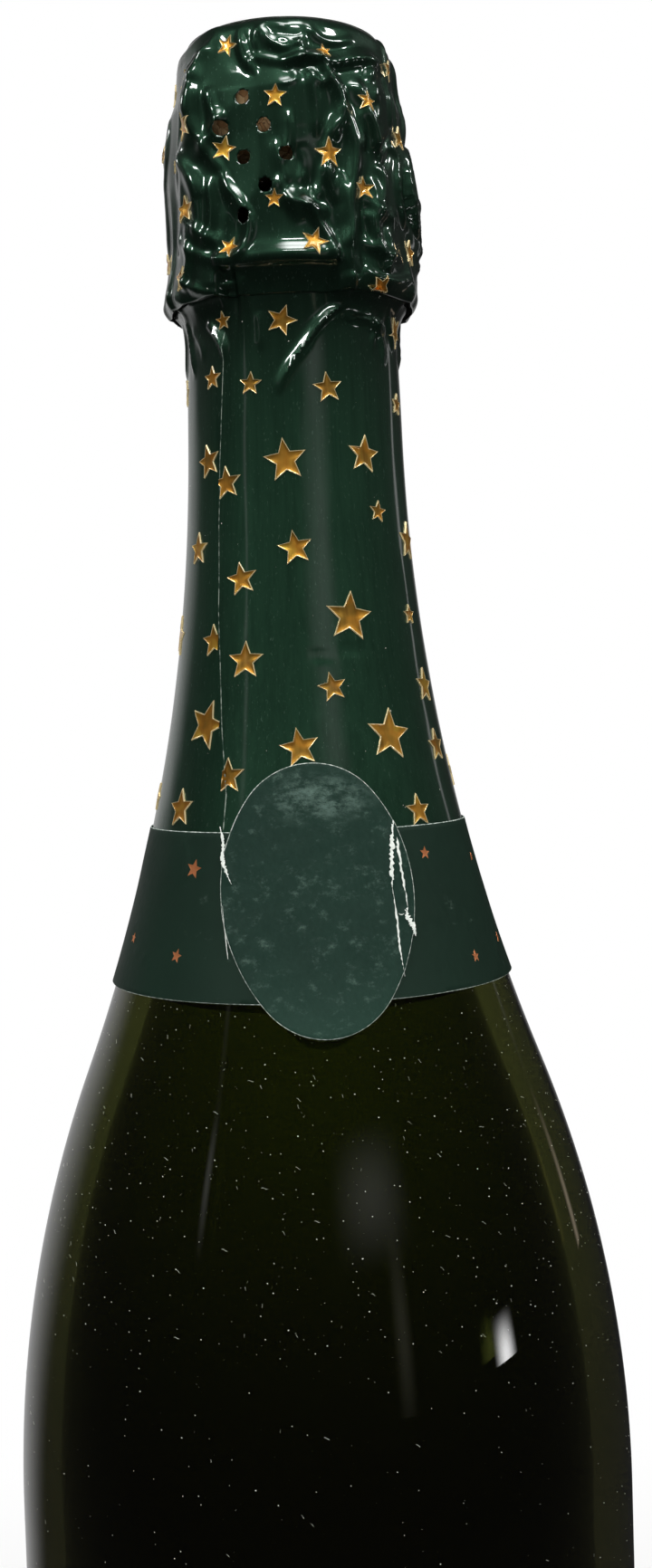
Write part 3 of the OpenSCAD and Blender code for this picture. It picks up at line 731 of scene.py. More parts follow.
def hood_side(azimuth, z):
    """How far the pressed foil stands off the plain hood: sag between legs, tab bulge, tucked front."""
    on_leg = sum(bell(turn_from(azimuth, leg), 0, LEG_SPREAD) for leg in LEGS)
    sag = -SAG * (1 - np.clip(on_leg, 0, 1)) * ramp(z, rim_z - 2 * MM, rim_z + 9 * MM)
    sag = sag - PRESSED_IN
    off_tab = turn_from(azimuth, TAB)
    post = TAB_POST_AT * np.cos(np.radians(off_tab))
    sideways = TAB_POST_AT * np.sin(np.radians(off_tab))
    post = post + np.sqrt(np.maximum(TAB_POST_R ** 2 - sideways ** 2, 0))
    bulge = np.maximum(post - hood_base_radius(z), 0) * (np.abs(off_tab) < TAB_SPREAD)
    bulge = bulge * ramp(z, rim_z + 1 * MM, rim_z + 10 * MM) * (1 - ramp(z, *TAB_FADE))
    front = ramp(azimuth, *FRONT_IN) * (1 - ramp(azimuth, *FRONT_OUT))
    tucked = front * (1 - ramp(z, TUCK_Z, TUCK_TOP_Z))
    lip = bell(z, LIP_Z, LIP_W) * front
    curl = -CURL * np.maximum(CURL_Z - z, 0) ** 2
    swell = np.maximum(sag, sag + bulge) + LIP_OUT * lip + curl
    up_tuck = np.clip((z - rim_z) / (TUCK_Z - rim_z), 0, 1)
    tuck_r = TUCK_R + TUCK_RISE * up_tuck ** 1.3 - hood_base_radius(z)
    return swell * (1 - tucked) + tuck_r * tucked


def ease(values):
    """Draws every row but the first and the last towards its neighbours."""
    eased = values.copy()
    eased[1:-1] = (values[:-2] + 2 * values[1:-1] + values[2:]) / 4
    return eased


HOOD_COLS, HOOD_ROWS = 320, 148
outline = [(rim_r, rim_z), (turn_r, turn_z)]
outline += arc(crown_r - round_r, top_z - round_r, round_r, 5, 90, 8)
outline += [(shelf_r, top_z)]
outline = np.array(outline)
outline_run = np.concatenate([[0], np.cumsum(np.linalg.norm(np.diff(outline, axis=0), axis=1))])
run = np.linspace(0, outline_run[-1], HOOD_ROWS)
plain_r = np.interp(run, outline_run, outline[:, 0])
plain_z = np.interp(run, outline_run, outline[:, 1])
for _ in range(6):
    plain_r, plain_z = ease(plain_r), ease(plain_z)
slope_r, slope_z = np.gradient(plain_r), np.gradient(plain_z)
slope = np.hypot(slope_r, slope_z)
print(f"hood: {outline_run[-1] / MM:.1f} mm of foil from rim to shelf")

# %% Hood strokes read from the photograph
# Each row is a crest height, the widths on its left and right as it is drawn, and its pixels.
HOOD_STROKES = [
    (0.9, 2.6, 0.5, [(312, 66), (345, 61), (370, 69), (395, 67), (427, 77)]),
    (0.35, 0.7, 0.7, [(282, 54), (280, 38), (288, 27), (302, 26), (318, 30)]),
    (0.30, 0.6, 0.6, [(300, 40), (320, 42), (335, 47), (336, 53), (320, 57)]),
    (0.40, 0.9, 0.7, [(272, 70), (276, 58), (292, 60), (310, 62), (332, 62), (350, 58)]),
    (0.40, 0.6, 0.6, [(266, 40), (270, 56), (279, 72)]),
    (0.80, 1.0, 2.0, [(350, 56), (360, 68), (370, 80), (379, 96), (383, 112), (380, 130), (374, 152)]),
    (0.35, 0.8, 0.6, [(344, 72), (352, 82), (360, 92)]),
    (0.25, 0.5, 0.5, [(304, 84), (313, 86), (326, 82), (330, 75), (320, 70)]),
    (0.45, 1.5, 0.8, [(238, 40), (224, 62), (215, 86), (212, 106), (211, 126)]),
    (0.40, 1.2, 1.2, [(206, 102), (210, 128), (222, 160), (234, 178), (246, 192)]),
    (0.65, 0.8, 2.2, [(243, 188), (251, 207), (258, 212), (267, 227), (275, 241), (274, 258), (267, 274),
                      (256, 287)]),
    (0.60, 0.8, 1.4, [(308, 214), (330, 221), (346, 225), (353, 237), (363, 254), (371, 267), (375, 292)]),
    (0.30, 0.5, 0.8, [(342, 222), (347, 232), (351, 242)]),
    (0.90, 2.0, 1.4, [(384, 112), (390, 135), (396, 165), (392, 195), (388, 225), (392, 250), (387, 272),
                      (392, 300)]),
    (0.60, 1.4, 1.0, [(420, 180), (425, 198), (423, 222), (418, 246)]),
    (0.80, 1.3, 1.0, [(436, 158), (446, 172), (441, 198), (447, 233), (457, 255), (467, 279)]),
    (0.60, 1.6, 0.7, [(430, 78), (434, 98), (438, 120), (441, 142)]),
    (-0.50, 0.7, 0.7, [(438, 146), (425, 163), (418, 172), (421, 181), (432, 177), (436, 162)]),
    (0.45, 3.0, 3.0, [(197, 150), (198, 187), (196, 215), (195, 247), (193, 286)]),
    (0.30, 2.0, 1.4, [(206, 190), (214, 215), (217, 245), (212, 272)]),
    (-0.50, 3.0, 2.0, [(326, 158), (338, 182), (352, 212)]),
    (0.45, 1.5, 1.5, [(363, 178), (360, 196), (350, 214)]),
    (0.50, 1.8, 1.0, [(405, 232), (413, 246), (415, 264), (416, 278)]),
    (0.30, 0.8, 0.8, [(254, 290), (254, 312), (253, 336)]),
    (0.45, 0.7, 1.4, [(392, 298), (394, 314), (396, 334)]),
    (0.35, 1.0, 1.0, [(404, 118), (414, 140), (418, 165)]),
    (0.30, 1.2, 1.2, [(300, 150), (306, 172), (318, 200)]),
    (0.50, 2.4, 1.6, [(233, 33), (229, 52), (222, 70), (214, 92)]),
    (0.45, 0.8, 0.8, [(286, 30), (296, 44), (312, 50), (330, 47), (338, 38)]),
    (0.40, 0.6, 0.9, [(268, 30), (262, 48), (268, 66), (282, 74)]),
    (0.40, 0.7, 0.7, [(340, 28), (350, 40), (368, 46), (392, 44)]),
    (0.35, 0.9, 0.9, [(352, 66), (366, 76), (362, 90)]),
    (0.45, 1.2, 2.4, [(243, 120), (236, 140), (226, 156), (221, 176)]),
    (0.40, 1.5, 1.5, [(226, 96), (232, 118), (240, 140), (238, 160)]),
    (0.50, 1.2, 2.0, [(190, 168), (202, 182), (214, 196), (222, 216)]),
    (0.45, 1.2, 1.6, [(196, 236), (210, 250), (226, 262), (244, 266)]),
    (0.40, 1.0, 1.6, [(190, 262), (206, 276), (228, 284), (250, 287)]),
    (0.50, 1.6, 1.2, [(318, 206), (332, 218), (350, 228), (366, 232)]),
    (0.35, 1.4, 1.4, [(330, 160), (338, 176), (336, 198)]),
    (0.40, 1.0, 1.0, [(398, 120), (404, 142), (402, 164)]),
    (0.45, 1.0, 1.6, [(404, 210), (412, 226), (424, 236), (440, 240)]),
    (0.50, 1.6, 1.0, [(400, 262), (412, 276), (430, 284), (450, 286)]),
    (0.45, 1.2, 1.2, [(428, 252), (432, 276), (428, 300)]),
    (0.40, 1.0, 1.4, [(404, 296), (420, 308), (440, 312), (458, 306)]),
    (0.40, 1.0, 1.0, [(190, 300), (204, 316), (222, 324), (246, 322)]),
    (0.40, 1.2, 1.2, [(186, 330), (202, 338), (222, 340), (244, 336)]),
    (0.40, 1.2, 1.2, [(228, 196), (232, 222), (230, 250), (222, 276)]),
    (0.70, 0.8, 2.4, [(397, 84), (404, 105), (412, 128), (419, 150), (424, 176)]),
    (0.55, 2.2, 0.8, [(372, 124), (366, 146), (361, 168), (366, 196), (372, 222)]),
    (0.60, 0.9, 2.0, [(379, 186), (384, 206), (383, 232), (388, 250), (386, 272)]),
    (0.55, 1.8, 0.8, [(412, 196), (416, 222), (412, 250), (420, 276), (424, 300)]),
    (0.60, 2.4, 0.9, [(216, 60), (206, 84), (202, 110), (204, 138)]),
    (0.55, 0.9, 2.0, [(204, 250), (208, 276), (204, 300), (200, 322)]),
    (0.45, 0.7, 1.6, [(306, 190), (314, 206), (326, 226), (338, 236)]),
    (0.35, 0.7, 1.4, [(318, 118), (322, 136), (320, 158), (312, 176)]),
    (0.50, 1.6, 3.0, [(214, 70), (212, 100), (213, 130), (212, 160)]),
    (0.35, 2.6, 1.0, [(340, 66), (348, 92), (352, 118), (350, 146)]),
    (0.40, 1.0, 2.2, [(262, 300), (258, 318), (262, 336)]),
]
CREST_GAIN = 1.5

FINER_FRONT = 0.32
even_turns = np.arange(HOOD_COLS) * 360 / HOOD_COLS - 180
columns = even_turns - FINER_FRONT * np.degrees(np.sin(np.radians(even_turns)))
azimuths, rows = np.meshgrid(columns, np.arange(HOOD_ROWS))
base_r, base_z = plain_r[rows], plain_z[rows]
print(len(HOOD_STROKES), "strokes on the hood")

# %% [markdown]
# ### Vents
# Air has to leave while the hood is pressed on, so the foil is punched with small round vents in a
# slanting lattice. A Boolean could cut them. Here the grid lines near each vent are drawn to its circle
# first, and the faces inside are left out, which keeps the mesh clean.

# %% Vents in the grid
VENT_R, DRAWN_CELLS, PUNCHED_SHARE = 1.0 * MM, 0.62, 0.98
VENT_MIDDLE, VENT_PITCH, VENT_STEP_Z, VENT_Z = -19.8, 9.9, 4 * MM, mouth_z + 1.6 * MM
VENT_CELLS = [(0, 2), (-1, 1), (1, 1), (0, 0), (2, 0), (1, -1), (0, -2)]
vents = [(VENT_MIDDLE + VENT_PITCH * column + half_turn, VENT_Z + VENT_STEP_Z * row)
         for half_turn in (0, 180) for column, row in VENT_CELLS]
cell_size = plain_r[HOOD_ROWS // 3] * 2 * math.pi / HOOD_COLS
for vent_azimuth, vent_z in vents:
    across = np.radians(turn_from(azimuths, vent_azimuth)) * base_r
    upward = base_z - vent_z
    off = np.hypot(across, upward)
    drawn = (np.abs(off - VENT_R) < DRAWN_CELLS * cell_size) & (np.abs(off) > 0)
    scale = np.where(drawn, VENT_R / np.maximum(off, 1e-9), 1)
    azimuths = azimuths + np.degrees(across * (scale - 1) / base_r)
    base_z = base_z + upward * (scale - 1)

print(len(vents), "vents")

# %% Hood mesh
spots = around(azimuths, base_r, base_z)
outward = around(azimuths, slope_z[rows] / slope[rows], -slope_r[rows] / slope[rows])
flat_spots, flat_outward = spots.reshape(-1, 3), outward.reshape(-1, 3)
lift = strokes_lift(HOOD_STROKES, flat_spots, flat_outward, hood_base_radius, rim_z - 4 * MM, top_z,
                    CREST_GAIN)

HOOD_FOLDS, HOOD_BACK = 34, (75, 300)
fold_draw = random.Random(7)
for _ in range(HOOD_FOLDS):
    azimuth = fold_draw.uniform(*HOOD_BACK)
    low = fold_draw.uniform(rim_z, top_z - 14 * MM)
    length = fold_draw.uniform(8, 26) * MM
    line = []
    for k in range(6):
        azimuth += fold_draw.uniform(-5, 5)
        z = min(low + length * k / 5, top_z - 1 * MM)
        line.append(on_ring(math.radians(azimuth), float(hood_base_radius(z)), z))
    widths = [fold_draw.uniform(0.7, 2.4) * MM for _ in range(2)]
    lift += stroke_lift(flat_spots, flat_outward, line, fold_draw.uniform(0.3, 0.9) * MM, *widths)

# %% Crumples of the hood
lift = lift.reshape(azimuths.shape)
across = np.radians(azimuths) * rim_r
along = run[rows]
smooth_front = bell(turn_from(azimuths, 0), 0, 48)
pressed = 1 - 0.8 * smooth_front
unseen = 1 - 0.97 * bell(turn_from(azimuths, 0), 0, 130)
lift += pressed * 0.60 * MM * crumples(across, along, 6.5 * MM, 2.6, 11)
lift += unseen * 0.16 * MM * crumples(across, along, 2.6 * MM, 1.9, 13)
lift += (0.3 + 0.7 * pressed) * 0.25 * MM * soft_noise(across, along, 9 * MM, 1.3, 15)
lift -= 0.42 * MM * pressed

EASED_FROM, MOST_EASED = (287 * MM, 290 * MM), 0.3 * MM
eased = lift
for _ in range(3):
    eased = ease((np.roll(eased, 1, axis=1) + 2 * eased + np.roll(eased, -1, axis=1)) / 4)
above_rim = ramp(base_z, *EASED_FROM)
lift = lift * (1 - above_rim) + np.maximum(eased, lift - MOST_EASED) * above_rim
on_side = 1 - ramp(along, outline_run[-2] - 1.0 * MM, outline_run[-2] + 0.5 * MM)
below_top = ramp(turn_z + 8 * MM - base_z, 0, 6 * MM)
lift = lift * on_side + hood_side(azimuths, base_z) * on_side * below_top
print(f"crumples: {lift.std() / MM:.2f} mm off the mean")

# %% [markdown]
# The foil can't sink into what it lies on. Rays from the foil towards the wire cage, the cap and the cork
# say how far down it may go, and a soft maximum lets it drape: the legs of the cage press through.

# %% Drape over the cage
under = bmesh.new()
for node in ("cage_frame", "cage_belt", "cage_cap", "cork_body"):
    under.from_mesh(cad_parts[node].data)
under_tree = BVHTree.FromBMesh(under)
under.free()
REACH, ROOM, SOFTNESS, STEP_DOWN = 3 * MM, 0.32 * MM, 0.25 * MM, 0.12 * MM
least = np.full(len(flat_spots), -REACH)
for i, (spot, way) in enumerate(zip(flat_spots, flat_outward)):
    way = Vector(way)
    hit, _, _, distance = under_tree.ray_cast(Vector(spot) + way * REACH, -way, 2 * REACH)
    if hit:
        least[i] = REACH - distance + ROOM
least = least.reshape(lift.shape)
for _ in range(3):
    near = np.maximum(np.roll(least, 1, axis=1), np.roll(least, -1, axis=1))
    least = np.maximum(least, near - STEP_DOWN)
drape = (lift + least + np.sqrt((lift - least) ** 2 + SOFTNESS ** 2)) / 2
lift = np.where(least > -REACH * 0.9, np.maximum(drape, least), lift)
hood_points = spots + lift[..., None] * outward
print(f"hood: from {lift.min() / MM:.2f} to {lift.max() / MM:.2f} mm off the plain form")


def grid_faces(rows_n, cols_n, left_out=None):
    """Quads of a closed grid; its rows run upward and its columns to the right, so they face out."""
    faces = []
    for i in range(rows_n - 1):
        for j in range(cols_n):
            k = (j + 1) % cols_n
            face = (i * cols_n + j, i * cols_n + k, (i + 1) * cols_n + k, (i + 1) * cols_n + j)
            if left_out is None or not left_out[i, j]:
                faces.append(face)
    return faces


def cell_middle(values):
    """The mean of each grid cell's four corners, for values that don't wrap round."""
    side = np.roll(values, -1, axis=1)
    return (values[:-1] + values[1:] + side[:-1] + side[1:]) / 4


punched = np.zeros((HOOD_ROWS - 1, HOOD_COLS), bool)
mid_spots = [cell_middle(spots[..., axis]) for axis in range(3)]
mid_azimuth = np.degrees(np.arctan2(mid_spots[0], -mid_spots[1]))
for vent_azimuth, vent_z in vents:
    across = np.radians(turn_from(mid_azimuth, vent_azimuth)) * np.hypot(mid_spots[0], mid_spots[1])
    punched |= np.hypot(across, mid_spots[2] - vent_z) < VENT_R * PUNCHED_SHARE
print(punched.sum(), "grid cells are punched out")

# %% [markdown]
# ## Foil that is green outside and pale inside
# The capsule is laminated foil: bright metal under a dark green lacquer, rolled with a fine grain that
# runs up the bottle, and pale inside. A metal shader under a clear coat gives both gleams: a broad green
# one from the metal and a sharp white one from the lacquer. Pale specks in the colour are painted glints,
# and the foil is painted darker towards the hood and all over the hood, as painted shade.

# %% Foil materials
HOOD_SHADE_FROM, HOOD_SHADE_TO = 0.262, 0.285


def foil_finish(name, metal, shade, gloss, grit, hood_shade):
    """Lacquered foil: how metallic, how dark, how rough its lacquer and its grain, and how much painted shade
    darkens it towards the hood and on it.
    """
    material, foil = new_material(name, Metallic=metal, Coat_Weight=1.0, Coat_Roughness=gloss, Coat_IOR=1.6)
    grain = foil.noise(1300, 4.0, (1, 1, 0.02), 0.8)
    blotch = foil.noise(110, 3.0, (1, 1, 0.5))
    # Painted glints: fine pale specks, mixed into the base colour below
    painted_glints = foil.noise(3600, 2.0, (1, 1, 0.4)).between(0.62, 0.80)
    deep, mid, pale = (rgb(*(shade * part for part in tone))
                       for tone in ((20, 55, 36), (32, 74, 52), (70, 118, 90)))
    green = foil.mix(0.55 * grain, foil.mix(blotch, deep, mid), pale)
    height = foil.axis(foil.place(), "Z")
    # Painted shade: the foil is painted darker towards the hood and all over the hood, by the given share
    green = foil.mix(hood_shade * height.between(HOOD_SHADE_FROM, HOOD_SHADE_TO), green, rgb(9, 30, 18))
    along_grain = foil.bump(grain, 0.03 * MM, grit)
    foil.feed(Base_Color=foil.mix(0.3 * painted_glints, green, rgb(120, 156, 138)),
              Roughness=0.30 + 0.14 * grain + 0.08 * blotch,
              Normal=foil.bump(foil.noise(700, 2.0), 0.02 * MM, 0.6 * grit, along_grain))
    return material


# The hood's copy of the foil is glossier, with less grain bump, and darker: a lower shade and painted shade
# all over, a shaded copy of the sleeve's foil
foil_material = foil_finish("green_foil", 0.86, 0.90, 0.09, 0.7, 0.75)
hood_material = foil_finish("green_foil_pressed_and_shaded", 0.90, 0.84, 0.06, 0.2, 0.50)

lining_material, lining = new_material("foil_lining", Metallic=0.7)
scuffs = lining.noise(300, 3.0)
lining.feed(Base_Color=lining.mix(scuffs, rgb(176, 176, 172), rgb(214, 214, 210)),
            Roughness=0.35 + 0.2 * scuffs, Normal=lining.bump(scuffs, 0.05 * MM, 0.3))

worn_material, worn = new_material("worn_foil_edge", Metallic=0.3, Roughness=0.4)
chips = worn.noise(1500, 4.0)
worn.feed(Base_Color=worn.mix(chips.between(0.38, 0.62), rgb(40, 68, 54), rgb(150, 166, 152)),
          Normal=worn.bump(chips, 0.05 * MM, 0.5))

SHOWN_T = 0.1 * MM


def thicken(piece):
    """Gives a skin its thickness inward; the inside takes material slot 1."""
    wall = piece.modifiers.new("thickness", "SOLIDIFY")
    wall.thickness, wall.offset = SHOWN_T, -1
    wall.material_offset = 1


hood_piece = link_mesh("hood_foil", hood_points.reshape(-1, 3), grid_faces(HOOD_ROWS, HOOD_COLS, punched),
                       [hood_material, lining_material])
bare = bmesh.new()
bare.from_mesh(hood_piece.data)
bmesh.ops.delete(bare, geom=[v for v in bare.verts if not v.link_faces], context="VERTS")
bare.to_mesh(hood_piece.data)
bare.free()
soften(hood_piece, 60)
thicken(hood_piece)
hand_over(hood_piece, "hood", "foil_hood")

# %% [markdown]
# ## The sleeve of the capsule
# Below the hood the foil is a sleeve, rolled round the neck and glued along one edge. The free edge is the
# thin bright line on the left of the photograph, and the layer on its right lies on top. The sleeve's
# upper end flares out under the hood and is hidden by the hood's rim. Two grid columns lie almost on
# each other along the free edge, so the step between the layers is real.

# %% Sleeve form
SLEEVE_OUT, FOIL_T = 0.25 * MM, 0.2 * MM
sleeve_low_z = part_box("foil_sleeve")[0].z
flare_z, sleeve_top_z = 279.06 * MM, 283.85 * MM
OVERLAP_DEGREES, OVERLAP_FADE = 35.4, (22, 2)
# In front the sleeve flares slowly from lower down, where the hood is tucked in.
LONG_FLARE_Z, LONG_FLARE_IN, LONG_FLARE_OUT = 272 * MM, (-36, -26), (12, 24)
RIM_ROOM, SHORT_FLARE = 0.12 * MM, 0.98
SEAM_PIXELS = [(253.6, 291), (247.7, 385), (245.8, 447), (243.7, 511), (242.9, 581), (242.3, 675),
               (245.3, 799), (250.3, 878)]


def sleeve_skin(z):
    return glass_radius(z, SLEEVE_OUT)


seam = [skin_point(x, y, sleeve_skin, 150 * MM, 300 * MM) for x, y in SEAM_PIXELS]
seam_z = [p.z for p in seam][::-1]
seam_turn = [azimuth_of(p) for p in seam][::-1]

hood_spots = hood_points.reshape(HOOD_ROWS, HOOD_COLS, 3)
rim_turns = np.degrees(np.arctan2(hood_spots[:4, :, 0], -hood_spots[:4, :, 1])).mean(axis=0)
rim_radii = np.hypot(hood_spots[:4, :, 0], hood_spots[:4, :, 1]).min(axis=0)
rim_order = np.argsort(rim_turns)


def hood_rim_radius(azimuth):
    """How far out the hood's rim stands at an azimuth."""
    return np.interp(azimuth, rim_turns[rim_order], rim_radii[rim_order], period=360)


SLEEVE_COLS = 320
offsets = np.concatenate([[0, 0.42], np.linspace(1.5, 359.85, SLEEVE_COLS - 2)])
heights = np.concatenate([np.linspace(sleeve_low_z, flare_z - 2 * MM, 104),
                          np.linspace(flare_z - 1.5 * MM, sleeve_top_z, 16)])
turns, zs = np.meshgrid(offsets, heights)
sleeve_turns = (turns + np.interp(zs, seam_z, seam_turn) + 180) % 360 - 180
flare_t = np.clip((zs - flare_z) / (sleeve_top_z - flare_z), 0, 1)
neck_r_here = glass_radius(np.minimum(zs, flare_z), SLEEVE_OUT)
flare_r = hood_rim_radius(sleeve_turns) - RIM_ROOM
in_front = ramp(sleeve_turns, *LONG_FLARE_IN) * (1 - ramp(sleeve_turns, *LONG_FLARE_OUT))
long_t = np.clip((zs - LONG_FLARE_Z) / (sleeve_top_z - LONG_FLARE_Z), 0, 1) ** 3
short_t = 1 - np.sqrt(1 - (SHORT_FLARE * flare_t) ** 2)
flare_share = (1 - in_front) * short_t + in_front * long_t
radii = neck_r_here + (flare_r - neck_r_here) * flare_share
lapped = 1 - ramp(turns, OVERLAP_DEGREES - OVERLAP_FADE[0], OVERLAP_DEGREES + OVERLAP_FADE[1])
radii += FOIL_T * lapped * (1 - flare_t)
print(f"sleeve: free edge from {seam_turn[0]:.1f} to {seam_turn[-1]:.1f} degrees")

# %% Sleeve mesh
SLEEVE_STROKES = [
    (0.85, 1.6, 0.6, [(196, 347), (214, 347), (230, 358), (242, 374), (249, 394)]),
    (0.30, 1.0, 0.8, [(214, 366), (222, 378), (226, 396)]),
    (0.95, 0.5, 1.5, [(388, 334), (366, 346), (350, 362), (336, 384), (322, 404), (308, 432)]),
    (0.60, 0.6, 1.2, [(376, 344), (392, 352), (408, 354), (424, 366)]),
    (0.50, 1.2, 0.7, [(400, 340), (412, 356), (420, 376), (424, 400)]),
    (0.30, 0.9, 0.9, [(422, 346), (414, 362), (410, 384)]),
    (0.28, 1.2, 1.2, [(286, 346), (290, 362), (288, 384)]),
    (-0.30, 0.8, 0.8, [(376, 716), (390, 717), (404, 720)]),
    (-0.15, 0.8, 0.8, [(340, 723), (356, 725), (373, 728)]),
]
sleeve_outward = around(sleeve_turns, 1, 0)
sleeve_spots = around(sleeve_turns, radii, zs)
flat_spots, flat_outward = sleeve_spots.reshape(-1, 3), sleeve_outward.reshape(-1, 3)
lift = strokes_lift(SLEEVE_STROKES, flat_spots, flat_outward, sleeve_skin, 150 * MM, 283 * MM)

SLEEVE_FOLDS, SLEEVE_BACK, DEEPEST = 15, (60, 300), 0.12 * MM
for _ in range(SLEEVE_FOLDS):
    azimuth = fold_draw.uniform(*SLEEVE_BACK)
    lean = fold_draw.uniform(-14, 14)
    low = flare_z - fold_draw.uniform(0, 6) * MM
    line = []
    for k in range(4):
        z = low + (sleeve_top_z - low) * k / 3
        line.append(on_ring(math.radians(azimuth + lean * k / 3), float(sleeve_skin(z)), z))
    widths = [fold_draw.uniform(0.6, 1.6) * MM for _ in range(2)]
    lift += stroke_lift(flat_spots, flat_outward, line, fold_draw.uniform(0.25, 0.6) * MM, *widths)

lift = lift.reshape(zs.shape)
across, along = np.radians(turns) * 16 * MM, zs
lift += 0.06 * MM * soft_noise(across, along, 7 * MM, 2.5, 21)
lift += 0.025 * MM * soft_noise(across, along, 2.2 * MM, 3.0, 22)
lift *= 1 - ramp(zs, flare_z + 2.5 * MM, sleeve_top_z)
sleeve_points = sleeve_spots + np.maximum(lift, -DEEPEST)[..., None] * sleeve_outward

sleeve_piece = link_mesh("neck_foil", sleeve_points.reshape(-1, 3), grid_faces(len(heights), SLEEVE_COLS),
                         [foil_material, lining_material, worn_material])
for row in range(len(heights) - 1):
    if heights[row] < flare_z:
        sleeve_piece.data.polygons[row * SLEEVE_COLS].material_index = 2
soften(sleeve_piece, 50)
thicken(sleeve_piece)
hand_over(sleeve_piece, "bottle", "foil_sleeve")

# %% [markdown]
# ## The disc on top
# A round patch of the same foil closes the shelf of the hood. It is pressed flat, so it has only shallow
# dents. It lies a little higher on the shelf than inside it, where it sags onto the cap.

# %% Top disc
disc_r, disc_top = crown_r - round_r + 0.15 * MM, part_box("foil_top_disc")[1].z
DISC_SIDES, DISC_RINGS = 144, 30
disc_turns, disc_rs = np.meshgrid(np.arange(DISC_SIDES) * 2 * math.pi / DISC_SIDES,
                                  np.linspace(disc_r, 0.4 * MM, DISC_RINGS))
disc_x, disc_y = disc_rs * np.sin(disc_turns), -disc_rs * np.cos(disc_turns)
disc_dents = dents(disc_x, disc_y, 4.2 * MM, 1.0, 31)
on_shelf = ramp(disc_rs, 10.6 * MM, 11.8 * MM)
DENTS_INSIDE, DENTS_ON_SHELF, LOWER_INSIDE, RING_MARK = 0.30 * MM, 0.10 * MM, 0.14 * MM, 0.10 * MM
disc_sag = DENTS_INSIDE * (1 - on_shelf) + DENTS_ON_SHELF * on_shelf
disc_z = disc_top - disc_sag * (1 - disc_dents * ramp(disc_r - disc_rs, 0, 1.5 * MM))
disc_z -= LOWER_INSIDE * (1 - on_shelf) + RING_MARK * bell(disc_rs, 12.4 * MM, 0.5 * MM)
disc_points = np.stack([disc_x, disc_y, disc_z], axis=-1).reshape(-1, 3).tolist()
disc_faces = grid_faces(DISC_RINGS, DISC_SIDES)
disc_faces.append(tuple(range((DISC_RINGS - 1) * DISC_SIDES, DISC_RINGS * DISC_SIDES)))
disc_piece = link_mesh("top_foil", disc_points, disc_faces, [hood_material, lining_material])
soften(disc_piece, 50)
thicken(disc_piece)
hand_over(disc_piece, "hood", "foil_top_disc")

# %% [markdown]
# ## Stars pressed into the foil
# The capsule is scattered with five-pointed stars of golden foil. A die presses them, so each has a raised
# rim that catches the light and is painted paler too, as a painted highlight, and a face that is a little
# lower. Each star is one small mesh. Geometry Nodes put a copy on every place of a flat, unrolled sheet,
# with its size and its tilt, and the whole sheet is then wrapped onto the foil, crumples and all. A star
# that crosses the sleeve's free edge is cut there, as it is on the bottle, where the pattern doesn't meet
# itself.

# %% One star
STAR_TIPS, STAR_NOTCH = 5, 0.44
STAR_RINGS = [(1.0, -0.05, 1.0), (0.94, 0.20, 1.0), (0.80, 0.12, 0.2), (0.42, 0.10, 0.0)]
RELIEF = 1.0 * MM


def make_star():
    """Rings of 20 points round a middle, each ring with its height in mm and how much of it is rim."""
    corners = []
    for k in range(2 * STAR_TIPS):
        reach, a = (1.0 if k % 2 == 0 else STAR_NOTCH), math.pi / 2 + k * math.pi / STAR_TIPS
        corners.append(Vector((reach * math.cos(a), reach * math.sin(a), 0)))
    outline = []
    for p, q in zip(corners, corners[1:] + corners[:1]):
        outline += [p, (p + q) / 2]
    count = len(outline)
    points, rim = [], []
    for scale, height, share in STAR_RINGS:
        points += [(p.x * scale, p.y * scale, height) for p in outline]
        rim += [share] * count
    points.append((0, 0, STAR_RINGS[-1][1]))
    rim.append(0.0)
    faces = []
    for ring in range(len(STAR_RINGS) - 1):
        for k in range(count):
            n = (k + 1) % count
            low = ring * count
            faces.append((low + k, low + n, low + count + n, low + count + k))
    last = (len(STAR_RINGS) - 1) * count
    faces += [(last + k, last + (k + 1) % count, last + count) for k in range(count)]
    star = link_mesh("star_die", points, faces, [])
    star.data.attributes.new("rim", "FLOAT", "POINT").data.foreach_set("value", rim)
    return star


star_die = make_star()
print("a star has", len(star_die.data.polygons), "faces")

# %% The star sheet in Geometry Nodes


def start_tree(name, inputs, output):
    """A Geometry Nodes tree with named inputs: the tree, its builder and the sockets of its inputs."""
    tree = bpy.data.node_groups.new(name, "GeometryNodeTree")
    for label, kind in inputs.items():
        tree.interface.new_socket(label, in_out="INPUT", socket_type=kind)
    tree.interface.new_socket(output, in_out="OUTPUT", socket_type="NodeSocketGeometry")
    steps = Finish(tree)
    given = tree.nodes.new("NodeGroupInput")
    return tree, steps, [Wire(steps, given.outputs[label]) for label in inputs]


def end_tree(steps, places, die, spin, size, material, output):
    """Puts the die on each place, makes the copies real and gives them their material."""
    shape = steps.node("GeometryNodeObjectInfo", {}, {"Object": die}, out="Geometry")
    copies = steps.node("GeometryNodeInstanceOnPoints", {},
                        {"Points": places, "Instance": shape, "Rotation": spin, "Scale": size})
    real = steps.node("GeometryNodeRealizeInstances", {}, {"Geometry": copies})
    done = steps.node("GeometryNodeSetMaterial", {}, {"Geometry": real, "Material": material})
    steps.put(steps.tree.nodes.new("NodeGroupOutput").inputs[output], done)
    print(material.name, "tree:", len(steps.tree.nodes), "nodes")


